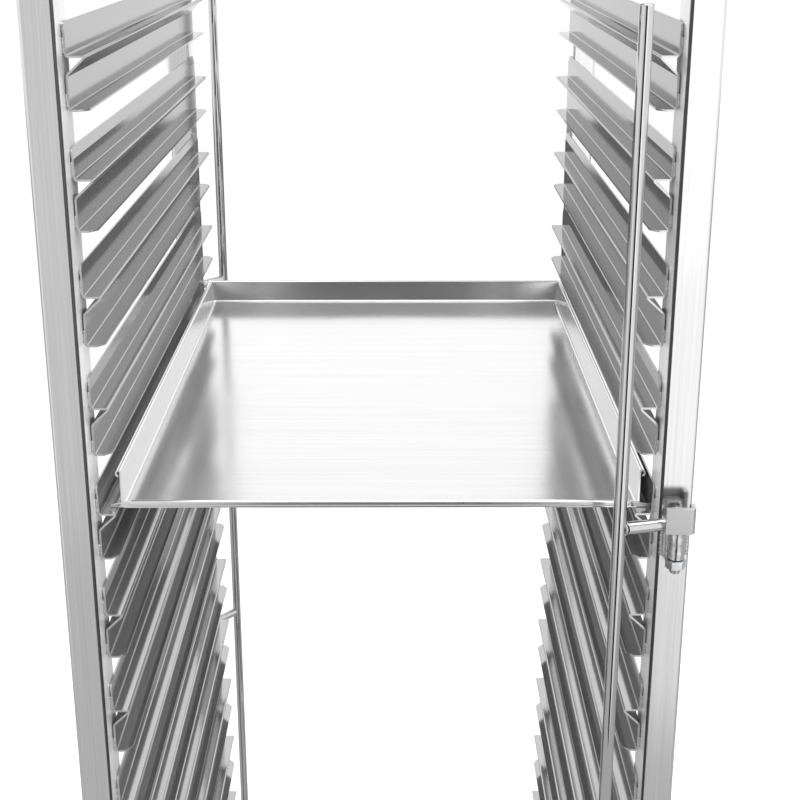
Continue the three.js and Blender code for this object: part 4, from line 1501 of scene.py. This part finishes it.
@dataclass
class Studio:
    """A pale floor, soft light and the camera, with glossy-only cards that the bare metal mirrors."""

    floor_half: float = 40.0
    lens: float = 65.25
    pitch: float = 18.9
    yaw: float = 0.2
    stand: tuple[float, float, float] = (0.01475, -1.292, 1.4487)

    def glow(self, name: str, strength: float) -> bpy.types.Material:
        """A plain glowing card."""
        made = bpy.data.materials.new(name)
        made.use_nodes = True
        nodes, links = made.node_tree.nodes, made.node_tree.links
        nodes.clear()
        output = nodes.new("ShaderNodeOutputMaterial")
        output.label = "card"
        output.location = (200, 0)
        light = nodes.new("ShaderNodeEmission")
        light.label = "even glow"
        light.inputs["Strength"].default_value = strength
        links.new(light.outputs["Emission"], output.inputs["Surface"])
        return made

    def floor(self) -> None:
        """The pale floor."""
        made = bpy.data.materials.new("pale_floor")
        made.use_nodes = True
        nodes, links = made.node_tree.nodes, made.node_tree.links
        paint = nodes["Principled BSDF"]
        paint.label = "matt pale floor"
        paint.inputs["Base Color"].default_value = (0.82, 0.82, 0.82, 1)
        paint.inputs["Roughness"].default_value = 0.9
        paint.inputs["Specular IOR Level"].default_value = 0.1
        paint.inputs["Emission Color"].default_value = (1, 1, 1, 1)
        paint.inputs["Emission Strength"].default_value = 0.12
        place = nodes.new("ShaderNodeTexCoord")
        place.label = "floor's own place"
        place.location = (-700, 0)
        grain = nodes.new("ShaderNodeTexNoise")
        grain.label = "faint unevenness"
        grain.location = (-500, 0)
        grain.inputs["Scale"].default_value = 3.0
        relief = nodes.new("ShaderNodeBump")
        relief.label = "hardly any relief"
        relief.location = (-250, -100)
        relief.inputs["Distance"].default_value = 0.0005
        links.new(place.outputs["Object"], grain.inputs["Vector"])
        links.new(grain.outputs["Fac"], relief.inputs["Height"])
        links.new(relief.outputs["Normal"], paint.inputs["Normal"])
        half = self.floor_half
        self.card("floor", (-half, -half, 0), (half, half, 0), made).visible_glossy = False

    def card(self, name: str, low: Point3, high: Point3, finish: bpy.types.Material) -> bpy.types.Object:
        """A flat stage card between two corners: level, or upright across the view."""
        (x0, y0, z0), (x1, y1, z1) = low, high
        corners = [(x0, y0, z0), (x1, y0, z0), (x1, y1, z1), (x0, y1, z1)]
        data = bpy.data.meshes.new(name)
        data.from_pydata(corners, [], [(0, 1, 2, 3)])
        data.materials.append(finish)
        made = bpy.data.objects.new(name, data)
        bpy.context.scene.collection.objects.link(made)
        return made

    def mirror_card(self, name: str, low: Point3, high: Point3, strength: float) -> None:
        """A card that only reflections see."""
        made = self.card(name, low, high, self.glow(name, strength))
        made.visible_camera = False
        made.visible_diffuse = False
        made.visible_transmission = False
        made.visible_volume_scatter = False
        made.visible_shadow = False

    def cards(self) -> None:
        """What the metal mirrors: a grey floor, a dark card in front and light ones beside it."""
        skin, front, top = 0.002, -1.7, 2.6
        level_cards = (("grey_floor_near", -9, -0.6, 9, 2.3, 0.62),
                       ("grey_floor_behind", -9, 2.3, 9, 9, 0.16),
                       ("light_floor_in_front", -7, -7, 7, -0.6, 0.7))
        for name, x0, y0, x1, y1, strength in level_cards:
            self.mirror_card(name, (x0, y0, skin), (x1, y1, skin), strength)
        upright_cards = (("dark_card_in_front", -0.3, 0.34, 0.0, top, 0.04),
                         ("light_card_front_left", -3.2, -0.85, 0.0, top, 1.3),
                         ("light_card_front_right", 0.85, 3.2, 0.0, top, 1.4),
                         ("soft_card_left_low", -0.85, -0.3, 0.0, 0.4, 0.74),
                         ("soft_card_right_low", 0.34, 0.85, 0.0, 0.4, 1.2),
                         ("soft_card_left_middle", -0.85, -0.3, 0.4, 0.85, 0.9),
                         ("soft_card_right_middle", 0.34, 0.85, 0.4, 0.85, 1.6),
                         ("soft_card_left_high", -0.85, -0.3, 0.85, top, 0.96),
                         ("soft_card_right_high", 0.34, 0.85, 0.85, top, 1.85))
        for name, x0, x1, z0, z1, strength in upright_cards:
            self.mirror_card(name, (x0, front, z0), (x1, front, z1), strength)

    def world(self) -> None:
        """A soft bright room: plain to the camera, uneven by height in what the metal mirrors."""
        made = bpy.data.worlds.new("soft_room")
        bpy.context.scene.world = made
        made.use_nodes = True
        nodes, links = made.node_tree.nodes, made.node_tree.links
        nodes.clear()
        output = nodes.new("ShaderNodeOutputWorld")
        output.label = "room"
        output.location = (900, 0)
        place = nodes.new("ShaderNodeTexCoord")
        place.label = "direction"
        place.location = (-700, 0)
        split = nodes.new("ShaderNodeSeparateXYZ")
        split.label = "height and side"
        split.location = (-500, 0)
        height = nodes.new("ShaderNodeValToRGB")
        height.label = "light by height"
        height.location = (-250, 0)
        ramp = height.color_ramp
        ramp.elements[0].position, ramp.elements[0].color = 0.0, (0.9, 0.9, 0.9, 1)
        ramp.elements[1].position, ramp.elements[1].color = 1.0, (0.6, 0.6, 0.6, 1)
        for position, value in ((0.1, 0.92), (0.54, 0.92), (0.68, 0.45), (0.82, 0.7)):
            ramp.elements.new(position).color = (value, value, value, 1)
        room = nodes.new("ShaderNodeBackground")
        room.label = "what the metal and the floor see"
        room.location = (200, 0)
        room.inputs["Strength"].default_value = 1.5
        plain = nodes.new("ShaderNodeBackground")
        plain.label = "what the camera sees"
        plain.location = (200, -150)
        plain.inputs["Color"].default_value = (1, 1, 1, 1)
        ray = nodes.new("ShaderNodeLightPath")
        ray.label = "seen straight or mirrored"
        ray.location = (200, 400)
        choose = nodes.new("ShaderNodeMixShader")
        choose.label = "plain room behind"
        choose.location = (600, 0)
        links.new(place.outputs["Generated"], split.inputs["Vector"])
        links.new(split.outputs["Z"], height.inputs["Fac"])
        links.new(height.outputs["Color"], room.inputs["Color"])
        links.new(ray.outputs["Is Camera Ray"], choose.inputs["Fac"])
        links.new(room.outputs["Background"], choose.inputs[1])
        links.new(plain.outputs["Background"], choose.inputs[2])
        links.new(choose.outputs["Shader"], output.inputs["Surface"])

    def lamp(self, name: str, place: Vector, target: Vector, size: float, watts: float) -> None:
        """A square soft lamp that the camera doesn't see."""
        data = bpy.data.lights.new(name, "AREA")
        data.shape = "SQUARE"
        data.size = size
        data.energy = watts
        made = bpy.data.objects.new(name, data)
        made.location = place
        made.rotation_euler = (target - place).to_track_quat("-Z", "Y").to_euler()
        made.visible_camera = False
        bpy.context.scene.collection.objects.link(made)

    def camera(self) -> None:
        """The camera, looking down into the rack from the loading end."""
        data = bpy.data.cameras.new("camera")
        data.lens = self.lens
        data.sensor_width = 36.0
        data.clip_end = 200.0
        made = bpy.data.objects.new("camera", data)
        made.location = self.stand
        made.rotation_euler = (math.radians(90 - self.pitch), 0, math.radians(-self.yaw))
        bpy.context.scene.collection.objects.link(made)
        bpy.context.scene.camera = made

    def build(self) -> None:
        """All of the studio."""
        bpy.context.scene.view_settings.view_transform = "Standard"
        self.camera()
        self.world()
        self.floor()
        self.cards()
        middle = Vector((0, 0, 0.8))
        self.lamp("overhead_softbox", Vector((0.6, 0.2, 3.4)), middle, 2.4, 60)
        self.lamp("side_softbox", Vector((3.0, -1.6, 2.2)), middle, 1.6, 25)


def main() -> None:
    """Builds the rack and the studio around it."""
    Studio().build()
    finishes = Finishes()
    trees = Trees()
    TubeFrame(finishes, trees).build()
    for side, _ in SIDES:
        Runners(finishes, trees, side).build()
    SheetPan(finishes).build()
    for end, _ in ENDS:
        LockBar(finishes, trees, end).build()
    for end, _ in ENDS:
        for side, _ in SIDES:
            Castor(finishes, trees, end, side).build()
    shown = [item for item in bpy.data.objects if item.type == "MESH" and not item.hide_render]
    log.info("rack built: %d pieces", len(shown))


if __name__ == "__main__":
    main()
